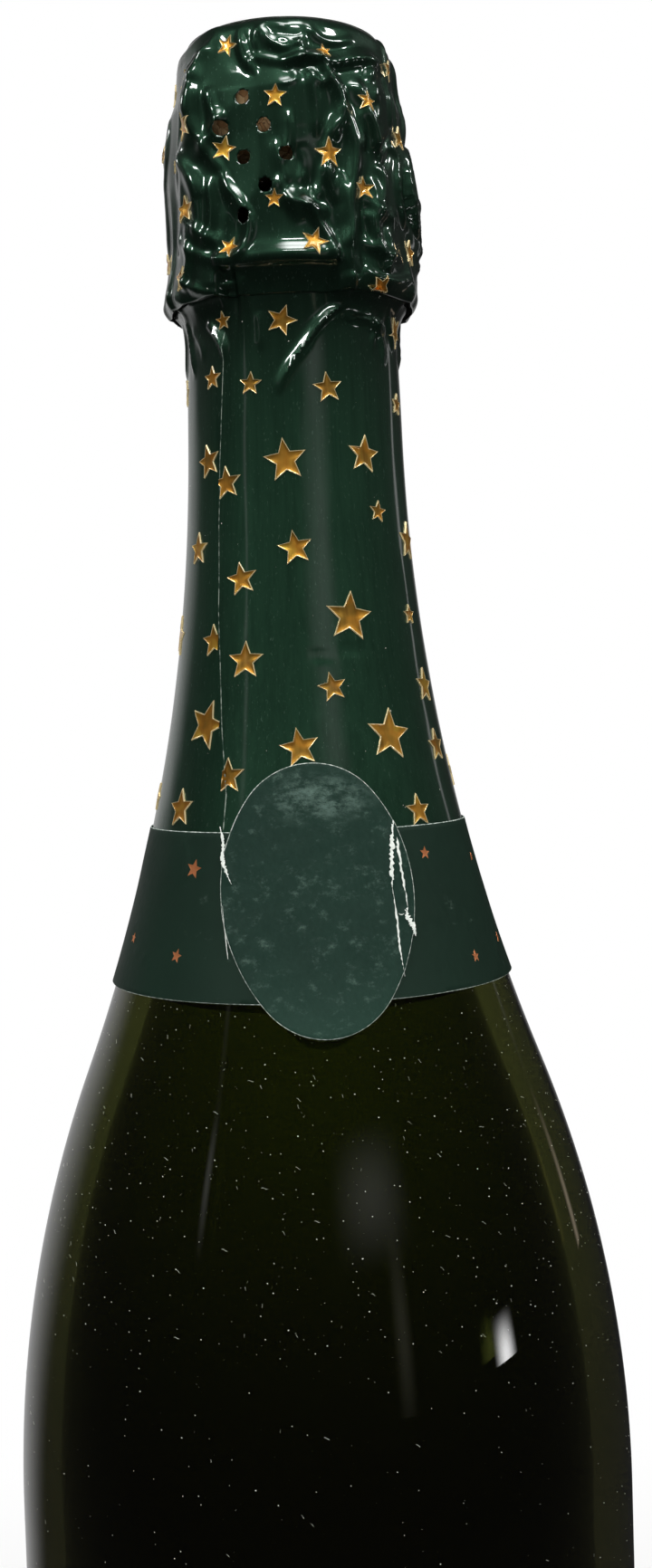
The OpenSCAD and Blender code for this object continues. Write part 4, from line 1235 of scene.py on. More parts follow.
def run_tree(holder, tree, settings):
    """Sets the tree's inputs by their identifiers, runs it and keeps the result as a plain mesh."""
    step = holder.modifiers.new(tree.name, "NODES")
    step.node_group = tree
    for socket in tree.interface.items_tree:
        if socket.in_out == "INPUT" and socket.name in settings:
            step[socket.identifier] = settings[socket.name]
    whole = bpy.data.meshes.new_from_object(holder.evaluated_get(bpy.context.evaluated_depsgraph_get()))
    holder.modifiers.remove(step)
    holder.data = whole


def sheet_tree(material):
    """Geometry Nodes that put a die on each point, sized and tilted by the point's own attributes."""
    inputs = {"Places": "NodeSocketGeometry", "Die": "NodeSocketObject", "Size": "NodeSocketFloat"}
    tree, steps, (places, die, size) = start_tree("star_sheet", inputs, "Sheet")
    own_size = steps.node("GeometryNodeInputNamedAttribute", {"data_type": "FLOAT"}, {"Name": "size"})
    own_tilt = steps.node("GeometryNodeInputNamedAttribute", {"data_type": "FLOAT"}, {"Name": "tilt"})
    spin = steps.node("ShaderNodeCombineXYZ", {}, {"Z": own_tilt})
    end_tree(steps, places, die, spin, own_size * size, material, "Sheet")
    return tree


def lay_sheet(name, tree, places, values):
    """Runs the tree over flat places; values are the attributes that each place hands on to its die."""
    holder = link_mesh(name, places, [], [])
    for key, numbers in values.items():
        holder.data.attributes.new(key, "FLOAT", "POINT").data.foreach_set("value", numbers)
    run_tree(holder, tree, {"Die": star_die, "Size": 1.0})
    return holder


# %% Gold and copper
gold_material, gold = new_material("star_gold", Coat_Weight=0.7, Coat_Roughness=0.08)
rim_glint = gold.node("ShaderNodeAttribute", {"attribute_name": "rim"}, out="Fac")
brushed = gold.noise(600, 3.0, (1, 1, 0.10), 0.75)
patch = gold.noise(230, 2.0)
face_tone = gold.mix(patch.between(0.36, 0.52), rgb(120, 62, 12), rgb(214, 128, 30))
face_tone = gold.mix(patch.between(0.54, 0.66), face_tone, rgb(248, 196, 70))
face_tone = gold.mix(0.7 * brushed, face_tone, rgb(255, 210, 96))
# Painted highlight: the raised rim is painted pale gold and made less metallic, so that it shows bright under
# any light
gold.feed(Base_Color=gold.mix(rim_glint.between(0.35, 0.95), face_tone, rgb(255, 232, 176)),
          Metallic=0.95 - 0.5 * rim_glint.between(0.5, 1.0),
          Roughness=0.36 + 0.2 * brushed - 0.2 * rim_glint,
          Normal=gold.bump(brushed, 0.06 * MM, 0.7))

copper_material, copper = new_material("printed_copper", Metallic=0.75)
pressed_ink = copper.noise(700, 3.0)
copper.feed(Base_Color=copper.mix(pressed_ink, rgb(190, 108, 62), rgb(244, 164, 112)),
            Roughness=0.35 + 0.2 * pressed_ink, Normal=copper.bump(pressed_ink, 0.03 * MM, 0.4))
gold_sheet, copper_sheet = sheet_tree(gold_material), sheet_tree(copper_material)

# %% Wrapping a sheet onto a skin
# A star's reach as a share of its diameter in the photograph, a little over half
TIP_SHARE = 0.54
DRAWS_PER_STAR, WIDEST_GAP = 24, 9.0
RAY_FROM, RAY_LENGTH = 4 * MM, 9 * MM


def star_places(pixels, radius_at, low_z, high_z):
    """Rows of turn, height, size and tilt from rows of pixel, diameter in pixels and tilt."""
    found = []
    for x, y, diameter, tilt in pixels:
        p = skin_point(x, y, radius_at, low_z, high_z)
        if p is None:
            continue
        away = (p - camera_at).dot(ahead)
        found.append((azimuth_of(p), p.z, TIP_SHARE * diameter * away / focal_px, math.radians(-tilt)))
    return found


def spread_places(taken, low_turn, high_turn, low_z, high_z, radius_at, pitch, sizes, seed):
    """Fills the unseen side: each new star takes the emptiest of many drawn places."""
    draw = random.Random(seed)
    places = list(taken)
    area = math.radians(high_turn - low_turn) * float(radius_at((low_z + high_z) / 2)) * (high_z - low_z)
    for _ in range(int(area / pitch ** 2)):
        best, best_gap = None, -1.0
        for _ in range(DRAWS_PER_STAR):
            turn, z = draw.uniform(low_turn, high_turn), draw.uniform(low_z, high_z)
            r = float(radius_at(z))
            gaps = [math.hypot(math.radians(float(turn_from(turn, t))) * r, z - h)
                    for t, h, _, _ in places]
            gap = min(gaps, default=WIDEST_GAP)
            if gap > best_gap:
                best, best_gap = (turn, z), gap
        places.append((*best, draw.choice(sizes) * MM, math.radians(draw.uniform(-16, 16))))
    return places[len(taken):]


def wrap_sheet(piece, runs, run_r, run_z, tree, cut_turn=None, relief=RELIEF):
    """Moves a flat sheet onto a skin whose profile is run_r, run_z over runs, by rays onto its faces."""
    mesh = piece.data
    stars = bmesh.new()
    stars.from_mesh(mesh)
    skin_r = stars.verts.layers.float["skin_r"]
    turned = stars.verts.layers.float["middle"]
    if cut_turn is not None:
        cut_sheet(stars, skin_r, turned, cut_turn)
    slope_r, slope_z = np.gradient(run_r, runs), np.gradient(run_z, runs)
    size = stars.verts.layers.float["size"]
    for v in stars.verts:
        a = v.co.x / v[skin_r]
        r, z = float(np.interp(v.co.y, runs, run_r)), float(np.interp(v.co.y, runs, run_z))
        n_r, n_z = float(np.interp(v.co.y, runs, slope_z)), -float(np.interp(v.co.y, runs, slope_r))
        outward = Vector(on_ring(a, n_r, n_z)).normalized()
        base = Vector(on_ring(a, r, z))
        hit, _, _, _ = tree.ray_cast(base + outward * RAY_FROM, -outward, RAY_LENGTH)
        v.co = (hit or base) + outward * (v.co.z / v[size]) * relief
    stars.to_mesh(mesh)
    stars.free()
    soften(piece, 50)


def cut_sheet(stars, skin_r, turned, cut_turn):
    """Cuts every star that reaches over the line of turns cut_turn(z), and keeps the side of its middle."""
    stars.verts.ensure_lookup_table()
    count = len(star_die.data.vertices)
    groups = [stars.verts[k:k + count] for k in range(0, len(stars.verts), count)]
    crossing = 0
    for group in groups:
        r, middle = group[0][skin_r], group[0][turned]
        line_x = math.radians(cut_turn(group[0].co.y)) * r
        xs = [v.co.x for v in group]
        if min(xs) < line_x < max(xs):
            crossing += 1
            faces = {f for v in group for f in v.link_faces}
            edges = {e for v in group for e in v.link_edges}
            keep_right = math.radians(middle) * r > line_x
            way = (-1, 0, 0) if keep_right else (1, 0, 0)
            bmesh.ops.bisect_plane(stars, geom=[*group, *edges, *faces], dist=1e-7,
                                   plane_co=(line_x, 0, 0), plane_no=way, clear_outer=True)
    print(crossing, "stars are cut at the free edge")


def lay_stars(name, rows, sheet_of, wall, body, cut_turn=None, relief=RELIEF, run_at=None):
    """Makes one piece of many stars: rows are turn, height, size and tilt, and run_at replaces the heights.

    A wall is the piece that carries the stars, and its profile as runs, radii and heights."""
    skin_piece, runs, run_r, run_z = wall
    places, size, tilt, skin_r, middle = [], [], [], [], []
    for turn, z, radius, spin in rows:
        run_here = float(np.interp(z, run_z, runs)) if run_at is None else run_at
        r = float(np.interp(run_here, runs, run_r))
        places.append((math.radians(turn) * r, run_here, 0))
        size.append(radius)
        tilt.append(spin)
        skin_r.append(r)
        middle.append(turn)
    values = {"size": size, "tilt": tilt, "skin_r": skin_r, "middle": middle}
    piece = lay_sheet(name, sheet_of, places, values)
    skin = bmesh.new()
    skin.from_mesh(skin_piece.data)
    tree = BVHTree.FromBMesh(skin)
    skin.free()
    wrap_sheet(piece, runs, run_r, run_z, tree, cut_turn, relief)
    hand_over(piece, body)
    print(len(rows), "stars")


# %% Stars on the sleeve
SLEEVE_STARS = [
    (235, 418, 26, 0), (277, 424, 26, 5), (362, 428, 34, -7), (437, 447, 24, 4), (231, 510, 37, -12),
    (252, 534, 37, -6), (315, 508, 48, -7), (402, 502, 42, 6), (417, 565, 24, 8), (449, 598, 42, 4),
    (220, 607, 36, 0), (326, 605, 39, -9), (268, 640, 37, -10), (386, 681, 55, 7), (451, 679, 22, 0),
    (237, 708, 36, -6), (272, 730, 42, 0), (367, 759, 33, -11), (468, 757, 38, 4), (228, 801, 54, 18),
    (481, 823, 36, 0), (430, 811, 57, 7), (331, 826, 44, -10), (253, 858, 40, -4), (200, 893, 42, -4),
    (462, 895, 36, 0),
]
seen_stars = star_places(SLEEVE_STARS, sleeve_skin, 190 * MM, 290 * MM)
hidden_stars = spread_places(seen_stars, 74, 278, 214 * MM, 281 * MM, sleeve_skin, 11.5 * MM,
                             [1.7, 2.1, 2.6, 3.1], 61)
sleeve_runs = np.linspace(sleeve_low_z, sleeve_top_z, 200)
sleeve_wall = (sleeve_piece, sleeve_runs, sleeve_skin(sleeve_runs), sleeve_runs)


def seam_cut(z):
    return float(np.interp(z, seam_z, seam_turn))


lay_stars("neck_stars", seen_stars + hidden_stars, gold_sheet, sleeve_wall, "bottle",
          seam_cut)

# %% Stars on the hood
HOOD_STARS = [
    (251, 50, 24, 20), (204, 86, 26, 10), (303, 102, 28, 5), (404, 112, 24, 8), (358, 55, 18, -10),
    (430, 76, 22, 10), (207, 141, 30, -10), (245, 163, 28, 14), (365, 167, 34, -2), (206, 232, 30, 0),
    (402, 208, 26, -3), (302, 217, 22, 4), (348, 265, 32, 20), (252, 272, 24, 25), (459, 228, 28, 5),
    (456, 279, 28, 5), (199, 308, 28, 3), (407, 322, 28, 25), (311, 354, 34, 20), (248, 355, 20, 0),
    (434, 368, 34, 35), (446, 152, 26, 0), (188, 182, 18, 6),
]


def hood_skin(z):
    return hood_base_radius(z) - 0.4 * MM


RIM_PIXEL_Y = 330
above_rim_stars = [star for star in HOOD_STARS if star[1] < RIM_PIXEL_Y]
hood_seen = star_places(above_rim_stars, hood_skin, rim_z + 0.5 * MM, top_z)
hood_hidden = spread_places(hood_seen, 80, 276, rim_z + 3 * MM, top_z - 3 * MM, hood_skin, 9.5 * MM,
                            [1.3, 1.6, 1.9], 62)
on_wall = run < outline_run[-1] - 2.2 * MM
hood_wall = (hood_piece, run[on_wall], plain_r[on_wall], plain_z[on_wall])
lay_stars("hood_stars", hood_seen + hood_hidden, gold_sheet, hood_wall, "hood")

disc_runs = np.linspace(0, disc_r - 4 * MM, 30)
top_wall = (disc_piece, disc_runs, disc_r - disc_runs, disc_top - 0 * disc_runs)
top_draw = random.Random(63)
top_rows = [(top_draw.uniform(-8, 8) + 60 * k, 0, top_draw.choice([1.4, 1.7, 2.0]) * MM,
             top_draw.uniform(0, 6)) for k in range(6)]
lay_stars("top_stars", top_rows, gold_sheet, top_wall, "hood", relief=0.4 * MM,
          run_at=disc_r - 8.6 * MM)

collar_rows = [star for star in HOOD_STARS if star[1] > RIM_PIXEL_Y]
collar_seen = star_places(collar_rows, sleeve_skin, 268 * MM, 283.5 * MM)
lay_stars("collar_stars", collar_seen, gold_sheet, sleeve_wall, "bottle")

# %% [markdown]
# ## Paper: the neck band and the oval seal
# Both are matt dark green paper, printed on one side. Printed paper has a white core, so a cut edge shows
# as a thin pale line, and the camera sees it only because the edge is crushed a little. Here the outermost
# ring of faces is that slanted edge, with a material of its own. No text is printed on either.

# %% Paper materials
PAPER = {"Specular_IOR_Level": 0.22}
paper_material, paper = new_material("green_paper", **PAPER)
fibre = paper.noise(1400, 4.0, (1, 1, 0.6), 0.65)
print_tone = paper.noise(90, 3.0)
scuff = paper.noise(260, 5.0, (1, 1, 1.6), 0.7).between(0.62, 0.76)
green = paper.mix(print_tone, rgb(5, 27, 17), rgb(10, 37, 25))
green = paper.mix(0.25 * fibre, green, rgb(32, 66, 50))
paper.feed(Base_Color=paper.mix(0.25 * scuff, green, rgb(104, 122, 112)),
           Roughness=0.46 + 0.22 * fibre, Normal=paper.bump(fibre, 0.03 * MM, 0.5))

seal_material, label = new_material("seal_paper", **PAPER)
RUB_MIDDLE, RUB_STRETCH = (0.0016, -0.021, 0.2158), (1, 0, 2.2)
weave = label.noise(1600, 4.0, (1, 1, 0.7), 0.7)
cloudy = label.noise(140, 4.0)
place = label.place()
rub_at = label.vector("MULTIPLY", label.vector("SUBTRACT", place, RUB_MIDDLE), RUB_STRETCH)
rub_distance = label.vector("LENGTH", rub_at, out="Value")
creased = label.noise(380, 6.0, (0.8, 1, 1.5), 0.8)
rubbed = (1.0 - rub_distance.between(2.5 * MM, 9.5 * MM)) * creased.between(0.40, 0.66)
# Painted sheen: the seal is painted lighter from about 196 mm down, fully below 184 mm
lower = 1.0 - label.axis(place, "Z").between(0.184, 0.196)
green = label.mix(cloudy, rgb(2, 28, 19), rgb(10, 40, 30))
green = label.mix(0.7 * lower, green, rgb(24, 54, 43))
green = label.mix(0.32 * weave, green, rgb(48, 84, 70))
marks = label.noise(420, 6.0, (1, 1, 1.4), 0.8).between(0.52, 0.74)
green = label.mix(0.30 * marks, green, rgb(112, 138, 126))
label.feed(Base_Color=label.mix(0.55 * rubbed, green, rgb(100, 124, 114)),
           Roughness=0.44 + 0.22 * weave, Normal=label.bump(weave + 1.5 * rubbed, 0.04 * MM, 0.6))

edge_material, edge = new_material("paper_edge", Roughness=0.8)
fluff = edge.noise(2200, 4.0)
edge.feed(Base_Color=edge.mix(fluff.between(0.35, 0.65), rgb(110, 128, 118), rgb(206, 214, 206)),
          Normal=edge.bump(fluff, 0.06 * MM, 0.6))
EDGE_W = 0.09 * MM


def add_paper(name, points, faces, edge_faces, node, material):
    """A paper piece from a grid; the faces of its cut edge get the pale material."""
    piece = link_mesh(name, points, faces, [material, edge_material])
    for index in edge_faces:
        piece.data.polygons[index].material_index = 1
    soften(piece, 50)
    thicken(piece)
    hand_over(piece, "bottle", node)
    return piece


print("paper:", paper_material.name, seal_material.name, edge_material.name)

# %% Neck band
BAND_OUT, BAND_GAP, BAND_WAVES, EDGE_DOWN = 0.62 * MM, 1.5 * MM, 0.05 * MM, 0.09 * MM
band_low_z, band_high_z = 189.5 * MM, 211.5 * MM
gap_degrees = math.degrees(BAND_GAP / float(glass_radius(band_low_z)))
BAND_COLS, BAND_ROWS = 330, 34
inner_turns = np.linspace(-180 + gap_degrees / 2, 180 - gap_degrees / 2, BAND_COLS)
edge_degrees = math.degrees(EDGE_W / float(glass_radius(band_low_z)))
outer_turns = inner_turns[[0, -1]] + (-edge_degrees, edge_degrees)
band_turns = np.concatenate([outer_turns[:1], inner_turns, outer_turns[1:]])
band_zs = np.linspace(band_low_z + EDGE_W, band_high_z - EDGE_W, BAND_ROWS)
band_zs = np.concatenate([[band_low_z], band_zs, [band_high_z]])
turns, zs = np.meshgrid(band_turns, band_zs)
on_edge = np.zeros(turns.shape, bool)
on_edge[[0, -1], :] = True
on_edge[:, [0, -1]] = True
across, along = np.radians(turns) * 24 * MM, zs
radii = glass_radius(zs, BAND_OUT) - EDGE_DOWN * on_edge
radii += BAND_WAVES * soft_noise(across, along, 4 * MM, 1.5, 41) * ~on_edge
print(f"band: {(band_high_z - band_low_z) / MM:.0f} mm high, with a gap of {gap_degrees:.1f} degrees")

# %% Creases of the band
BAND_CREASES = [
    (0.20, 0.5, 0.5, [(474, 1000), (478, 1012), (489, 1020)]),
    (0.20, 0.5, 0.5, [(148, 1050), (160, 1058), (166, 1072)]),
    (0.22, 0.8, 0.8, [(202, 926), (206, 946), (204, 972)]),
    (0.20, 1.0, 1.0, [(540, 1000), (545, 1030), (550, 1060)]),
]


def band_skin(z):
    return glass_radius(z, BAND_OUT)


flat_spots, flat_outward = around(turns, radii, zs).reshape(-1, 3), around(turns, 1, 0 * zs).reshape(-1, 3)
lift = strokes_lift(BAND_CREASES, flat_spots, flat_outward, band_skin, 180 * MM, 220 * MM)
band_points = flat_spots + np.maximum(lift, 0)[:, None] * flat_outward

rows_n, cols_n = turns.shape
band_faces, band_edges = [], []
for i in range(rows_n - 1):
    for j in range(cols_n - 1):
        if i in (0, rows_n - 2) or j in (0, cols_n - 2):
            band_edges.append(len(band_faces))
        corner = i * cols_n + j
        band_faces.append((corner, corner + 1, corner + cols_n + 1, corner + cols_n))
band_piece = add_paper("green_band", band_points, band_faces, band_edges, "neck_band", paper_material)

# %% Stars on the band
BAND_STARS = [(214, 960, 21, 10), (469, 942, 14, 8), (195, 1056, 15, 12), (148, 1036, 11, 6),
              (525, 1056, 13, 4), (520, 946, 9, 0), (549, 1035, 11, 6)]
band_seen = star_places(BAND_STARS, band_skin, 185 * MM, 215 * MM)
band_hidden = spread_places(band_seen, 62, 292, 192 * MM, 209 * MM, band_skin, 12 * MM, [0.7, 0.9, 1.3], 63)
band_runs = np.linspace(band_low_z, band_high_z, 40)
band_wall = (band_piece, band_runs, band_skin(band_runs), band_runs)
lay_stars("band_stars", band_seen + band_hidden, copper_sheet, band_wall, "bottle",
          relief=0.25 * MM)
bpy.data.objects.remove(star_die)

# %% Oval seal
SEAL_OUT = 0.79 * MM
seal_w, seal_h, seal_end_r = 25.8 * MM, 35.4 * MM, 10.4 * MM
seal_middle_z, seal_turned, seal_lean = 202.8 * MM, math.radians(2.8), math.radians(3)
SEAL_SIDES, SEAL_RINGS = 180, 40
SEAL_EDGE_DOWN, RIM_LIFT, WAVE_LIFT = 0.08 * MM, 0.08 * MM, 0.008 * MM


def oval_reach(angle):
    """Distance from the middle of the oval to its edge, in a direction; four arcs make the oval."""
    end_y, reach = seal_h / 2 - seal_end_r, seal_w / 2 - seal_end_r
    side_x = (end_y ** 2 - reach ** 2) / (2 * reach)
    side_r = seal_w / 2 + side_x
    way = (abs(math.cos(angle)), abs(math.sin(angle)))
    touch_y = side_r * end_y / math.hypot(side_x, end_y)
    along_side = -side_x * way[0]
    side = along_side + math.sqrt(along_side ** 2 - side_x ** 2 + side_r ** 2)
    if side * way[1] <= touch_y:
        return side
    along_end = end_y * way[1]
    return along_end + math.sqrt(along_end ** 2 - end_y ** 2 + seal_end_r ** 2)


def seal_place(u, v, out):
    """A point of the seal's plan, leaned, pressed straight back onto the neck, then turned with it."""
    x = u * math.cos(seal_lean) - v * math.sin(seal_lean)
    z = seal_middle_z + u * math.sin(seal_lean) + v * math.cos(seal_lean)
    r = float(glass_radius(z, SEAL_OUT)) + out
    a = math.asin(x / r) + seal_turned
    return on_ring(a, r, z)


seal_draw = np.random.default_rng(51)
seal_phase = seal_draw.random(6) * 6.28
seal_points = [seal_place(0, 0, 0)]
for ring in range(1, SEAL_RINGS + 2):
    for k in range(SEAL_SIDES):
        angle = 2 * math.pi * k / SEAL_SIDES
        reach = oval_reach(angle)
        if ring <= SEAL_RINGS:
            distance, out = (reach - EDGE_W) * ring / SEAL_RINGS, 0
        else:
            distance, out = reach, -SEAL_EDGE_DOWN
        u, v = distance * math.cos(angle), distance * math.sin(angle)
        wave = sum(math.sin(300 * (n + 1) * (u * math.cos(n) + v * math.sin(n)) + seal_phase[n])
                   for n in range(6))
        lifted = RIM_LIFT * (ring / SEAL_RINGS) ** 8 * math.sin(3 * angle + 1) ** 2
        seal_points.append(seal_place(u, v, out + WAVE_LIFT * wave * (ring <= SEAL_RINGS) + lifted))
seal_points = np.array(seal_points)
print(f"seal: {seal_w / MM:.1f} mm wide and {seal_h / MM:.1f} mm high")

# %% [markdown]
# ### Torn creases
# The seal bridges the step of the band's edge and was creased there. Each crease is a lift of the paper
# with a torn white crest: a narrow strip with ragged sides along the same listed line.

# %% Creases of the seal
SEAL_CREASES = [
    (0.26, 0.06, 0.26, [(243, 913), (248, 931), (246, 948), (250, 962), (256, 977)]),
    (0.30, 0.05, 0.34, [(434, 906), (432, 925), (431, 955), (433, 981)]),
    (0.22, 0.03, 0.14, [(433, 981), (438, 1015), (441, 1050), (447, 1079)]),
    (0.26, 0.04, 0.20, [(434, 907), (439, 939), (444, 971), (450, 1002)]),
    (0.24, 0.08, 0.34, [(450, 1002), (447, 1010), (455, 1021), (459, 1034)]),
    (0.16, 0.02, 0.07, [(436, 1006), (443, 1012), (449, 1004)]),
    (0.14, 0.02, 0.06, [(246, 1000), (249, 1030), (252, 1060)]),
]


def seal_skin(z):
    return glass_radius(z, SEAL_OUT)


seal_outward = seal_points * (1, 1, 0)
seal_outward /= np.linalg.norm(seal_outward, axis=1)[:, None] + 1e-12
crease_draw = random.Random(52)
strip_points, strip_faces = [], []
CREASE_W, STRIP_W, STRIP_UP = 0.9 * MM, 1.5, 0.10
torn_material, torn = new_material("torn_paper", Roughness=0.9)
torn_fluff = torn.noise(1800, 4.0)
torn.feed(Base_Color=torn.mix(torn_fluff, rgb(176, 188, 178), rgb(250, 252, 246)),
          Normal=torn.bump(torn_fluff, 0.06 * MM, 0.6))


def torn_strip(line, crest, thin, wide):
    """Adds a ragged strip along a line: its crest at the crease's height, its sides a little lower."""
    fine = []
    for p, q in zip(line, line[1:]):
        fine += [p + (q - p) * k / 3 for k in range(3)]
    for i, p in enumerate(fine):
        way = fine[min(i + 1, len(fine) - 1)] - fine[max(i - 1, 0)]
        out_way = np.array([p[0], p[1], 0]) / math.hypot(p[0], p[1])
        side = np.cross(way, out_way)
        side /= np.linalg.norm(side) + 1e-12
        share = min(1.0, 3 * min(i + 1, len(fine) - i) / len(fine))
        left, right_side = (STRIP_W * share * crease_draw.uniform(thin, wide) * MM for _ in range(2))
        top = p + out_way * (crest * share * 0.9 + STRIP_UP) * MM
        foot = top - out_way * STRIP_UP * MM
        start = len(strip_points)
        strip_points.extend([foot - side * left, top, foot + side * right_side])
        if i:
            strip_faces.append((start - 3, start - 2, start + 1, start))
            strip_faces.append((start - 2, start - 1, start + 2, start + 1))


for crest, thin, wide, pixels in SEAL_CREASES:
    line = [skin_point(x, y, seal_skin, 180 * MM, 225 * MM) for x, y in pixels]
    line = rounded_line([np.array(p) for p in line if p is not None])
    raised = stroke_lift(seal_points, seal_outward, line, crest * MM, CREASE_W, CREASE_W)
    seal_points = seal_points + raised[:, None] * seal_outward
    torn_strip(line, crest, thin, wide)

seal_faces = [(0, 1 + k, 1 + (k + 1) % SEAL_SIDES) for k in range(SEAL_SIDES)]
for ring in range(SEAL_RINGS):
    low = 1 + ring * SEAL_SIDES
    for k in range(SEAL_SIDES):
        n = (k + 1) % SEAL_SIDES
        seal_faces.append((low + k, low + SEAL_SIDES + k, low + SEAL_SIDES + n, low + n))
seal_edges = range(len(seal_faces) - SEAL_SIDES, len(seal_faces))
add_paper("oval_seal", seal_points, seal_faces, seal_edges, "seal_sticker", seal_material)
strip_piece = link_mesh("torn_creases", strip_points, [face[::-1] for face in strip_faces], [torn_material])
soften(strip_piece, 60)
hand_over(strip_piece, "bottle")

# %% [markdown]
# ## Under the foil: wire, cap and cork
# These pieces show only when the hood is lifted, but they are the bottle's mechanism: a cap of printed
# tin, a cage of twisted steel wire, and an agglomerate cork with two discs of natural cork at the wine.
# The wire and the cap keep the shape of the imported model. Their copies are welded and shaded smooth.

# %% Cage and cap
WELD = 0.002 * MM


def smooth_copy(node, name, body, material, sharp=45):
    """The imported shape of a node, welded and shaded smooth, with its own material."""
    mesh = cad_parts[node].data.copy()
    mesh.name = name
    mesh.materials.clear()
    mesh.materials.append(material)
    welded = bmesh.new()
    welded.from_mesh(mesh)
    bmesh.ops.remove_doubles(welded, verts=welded.verts, dist=WELD)
    for face in welded.faces:
        face.material_index = 0
    welded.to_mesh(mesh)
    welded.free()
    piece = bpy.data.objects.new(name, mesh)
    bpy.context.scene.collection.objects.link(piece)
    soften(piece, sharp)
    hand_over(piece, body, node)
    return piece


wire_material, wire = new_material("galvanised_wire", Metallic=1.0)
drawn, dull = wire.noise(900, 3.0), wire.noise(160, 3.0)
wire.feed(Base_Color=wire.mix(dull, rgb(168, 168, 166), rgb(206, 205, 200)),
          Roughness=0.26 + 0.2 * drawn + 0.12 * dull, Normal=wire.bump(drawn, 0.03 * MM, 0.4))
smooth_copy("cage_frame", "wire_cage", "cage", wire_material)
smooth_copy("cage_belt", "wire_belt", "cage", wire_material)

tin_material, tin = new_material("painted_tin", Metallic=0.9, Coat_Weight=0.4, Coat_Roughness=0.2)
rolled = tin.noise(240, 3.0, (1, 0.08, 1))
wear = tin.noise(420, 5.0).between(0.62, 0.72)
paint = tin.mix(rolled, rgb(150, 112, 52), rgb(176, 136, 70))
off_axis = tin.vector("LENGTH", tin.vector("MULTIPLY", tin.place(), (1, 1, 0)), out="Value")
ring = off_axis.between(8.6 * MM, 8.8 * MM) * (1.0 - off_axis.between(9.9 * MM, 10.1 * MM))
paint = tin.mix(ring, paint, rgb(20, 58, 40))
tin.feed(Base_Color=tin.mix(0.7 * wear, paint, rgb(196, 192, 184)),
         Roughness=0.28 + 0.15 * rolled + 0.15 * wear, Normal=tin.bump(rolled, 0.02 * MM, 0.4))
cap_piece = smooth_copy("cage_cap", "tin_cap", "cage", tin_material, 30)
cap_piece.modifiers.new("even_normals", "WEIGHTED_NORMAL").keep_sharp = True

# %% Corks
GRANULE_SCALE = 820.0
granule_material, granule = new_material("agglomerate_cork", Roughness=0.85)
warp = granule.node("ShaderNodeTexNoise", {}, {"Vector": granule.place(), "Scale": 700.0}, out="Color")
crooked = granule.vector("MULTIPLY_ADD", warp, (0.0011, 0.0011, 0.0011), granule.place())
cells = {"Vector": crooked, "Scale": GRANULE_SCALE}
grain_tone = granule.axis(granule.node("ShaderNodeTexVoronoi", {}, cells, out="Color"), "X")
joint = granule.node("ShaderNodeTexVoronoi", {"feature": "DISTANCE_TO_EDGE"}, cells, out="Distance")
pits = granule.noise(1500, 5.0)
tone = granule.mix(grain_tone.between(0.1, 1.0), rgb(158, 114, 70), rgb(226, 194, 146))
tone = granule.mix(0.5 * pits, tone, rgb(196, 158, 110))
tone = granule.mix(granule.noise(520, 3.0).between(0.64, 0.70), tone, rgb(96, 64, 38))
joint_tone = granule.mix(0.5 * pits, rgb(132, 94, 58), tone)
granule.feed(Base_Color=granule.mix(joint.between(0.0, 0.07), joint_tone, tone),
             Normal=granule.bump(joint.between(0.0, 0.12) + 0.4 * pits, 0.12 * MM, 0.6))

cork_material, cork = new_material("natural_cork", Roughness=0.8)
streaks = cork.noise(260, 4.0, (0.25, 1, 2.2), 0.6)
pores = cork.noise(700, 3.0, (0.5, 1, 1.6)).between(0.62, 0.70)
tone = cork.mix(streaks, rgb(186, 144, 96), rgb(222, 186, 138))
cork.feed(Base_Color=cork.mix(pores, tone, rgb(112, 74, 44)),
          Normal=cork.bump(1.0 - pores + 0.3 * streaks, 0.12 * MM, 0.6))
smooth_copy("cork_body", "cork_shaft", "stopper", granule_material, 50)
smooth_copy("cork_disc_upper", "cork_disc_1", "stopper", cork_material, 50)
smooth_copy("cork_disc_lower", "cork_disc_2", "stopper", cork_material, 50)

# %% [markdown]
# ## Dust and lint
# A bottle that has stood on a shelf carries dust, and on dark glass every speck shows. A particle system
# could scatter it. Geometry Nodes do it with a seed that keeps each speck where it is: points on a skin,
# a speck or a short curled fibre on each, turned at random.

# %% Specks and fibres


def make_speck():
    """A flattened grain of 20 faces."""
    grain_mesh = bmesh.new()
    bmesh.ops.create_icosphere(grain_mesh, subdivisions=1, radius=1.0)
    for v in grain_mesh.verts:
        v.co.z *= 0.5
        v.co.x *= 1.3
    speck = link_mesh("speck", [], [], [])
    grain_mesh.to_mesh(speck.data)
    grain_mesh.free()
    return speck


def make_fibre():
    """A curled thread, one unit long, as a tube of three sides."""
    points, faces = [], []
    steps, thickness = 7, 0.024
    for i in range(steps + 1):
        t = i / steps
        middle = Vector((t - 0.5, 0.12 * math.sin(2.6 * t) * math.sin(4 * t + 1), 0.03 * math.sin(3.1 * t)))
        for k in range(3):
            a = k * 2 * math.pi / 3
            points.append(middle + Vector((0, thickness * math.cos(a), thickness * math.sin(a))))
    for i in range(steps):
        for k in range(3):
            n = (k + 1) % 3
            faces.append((3 * i + k, 3 * i + 3 + k, 3 * i + 3 + n, 3 * i + n))
    faces += [(0, 1, 2), (3 * steps + 2, 3 * steps + 1, 3 * steps)]
    return link_mesh("fibre", points, faces, [])


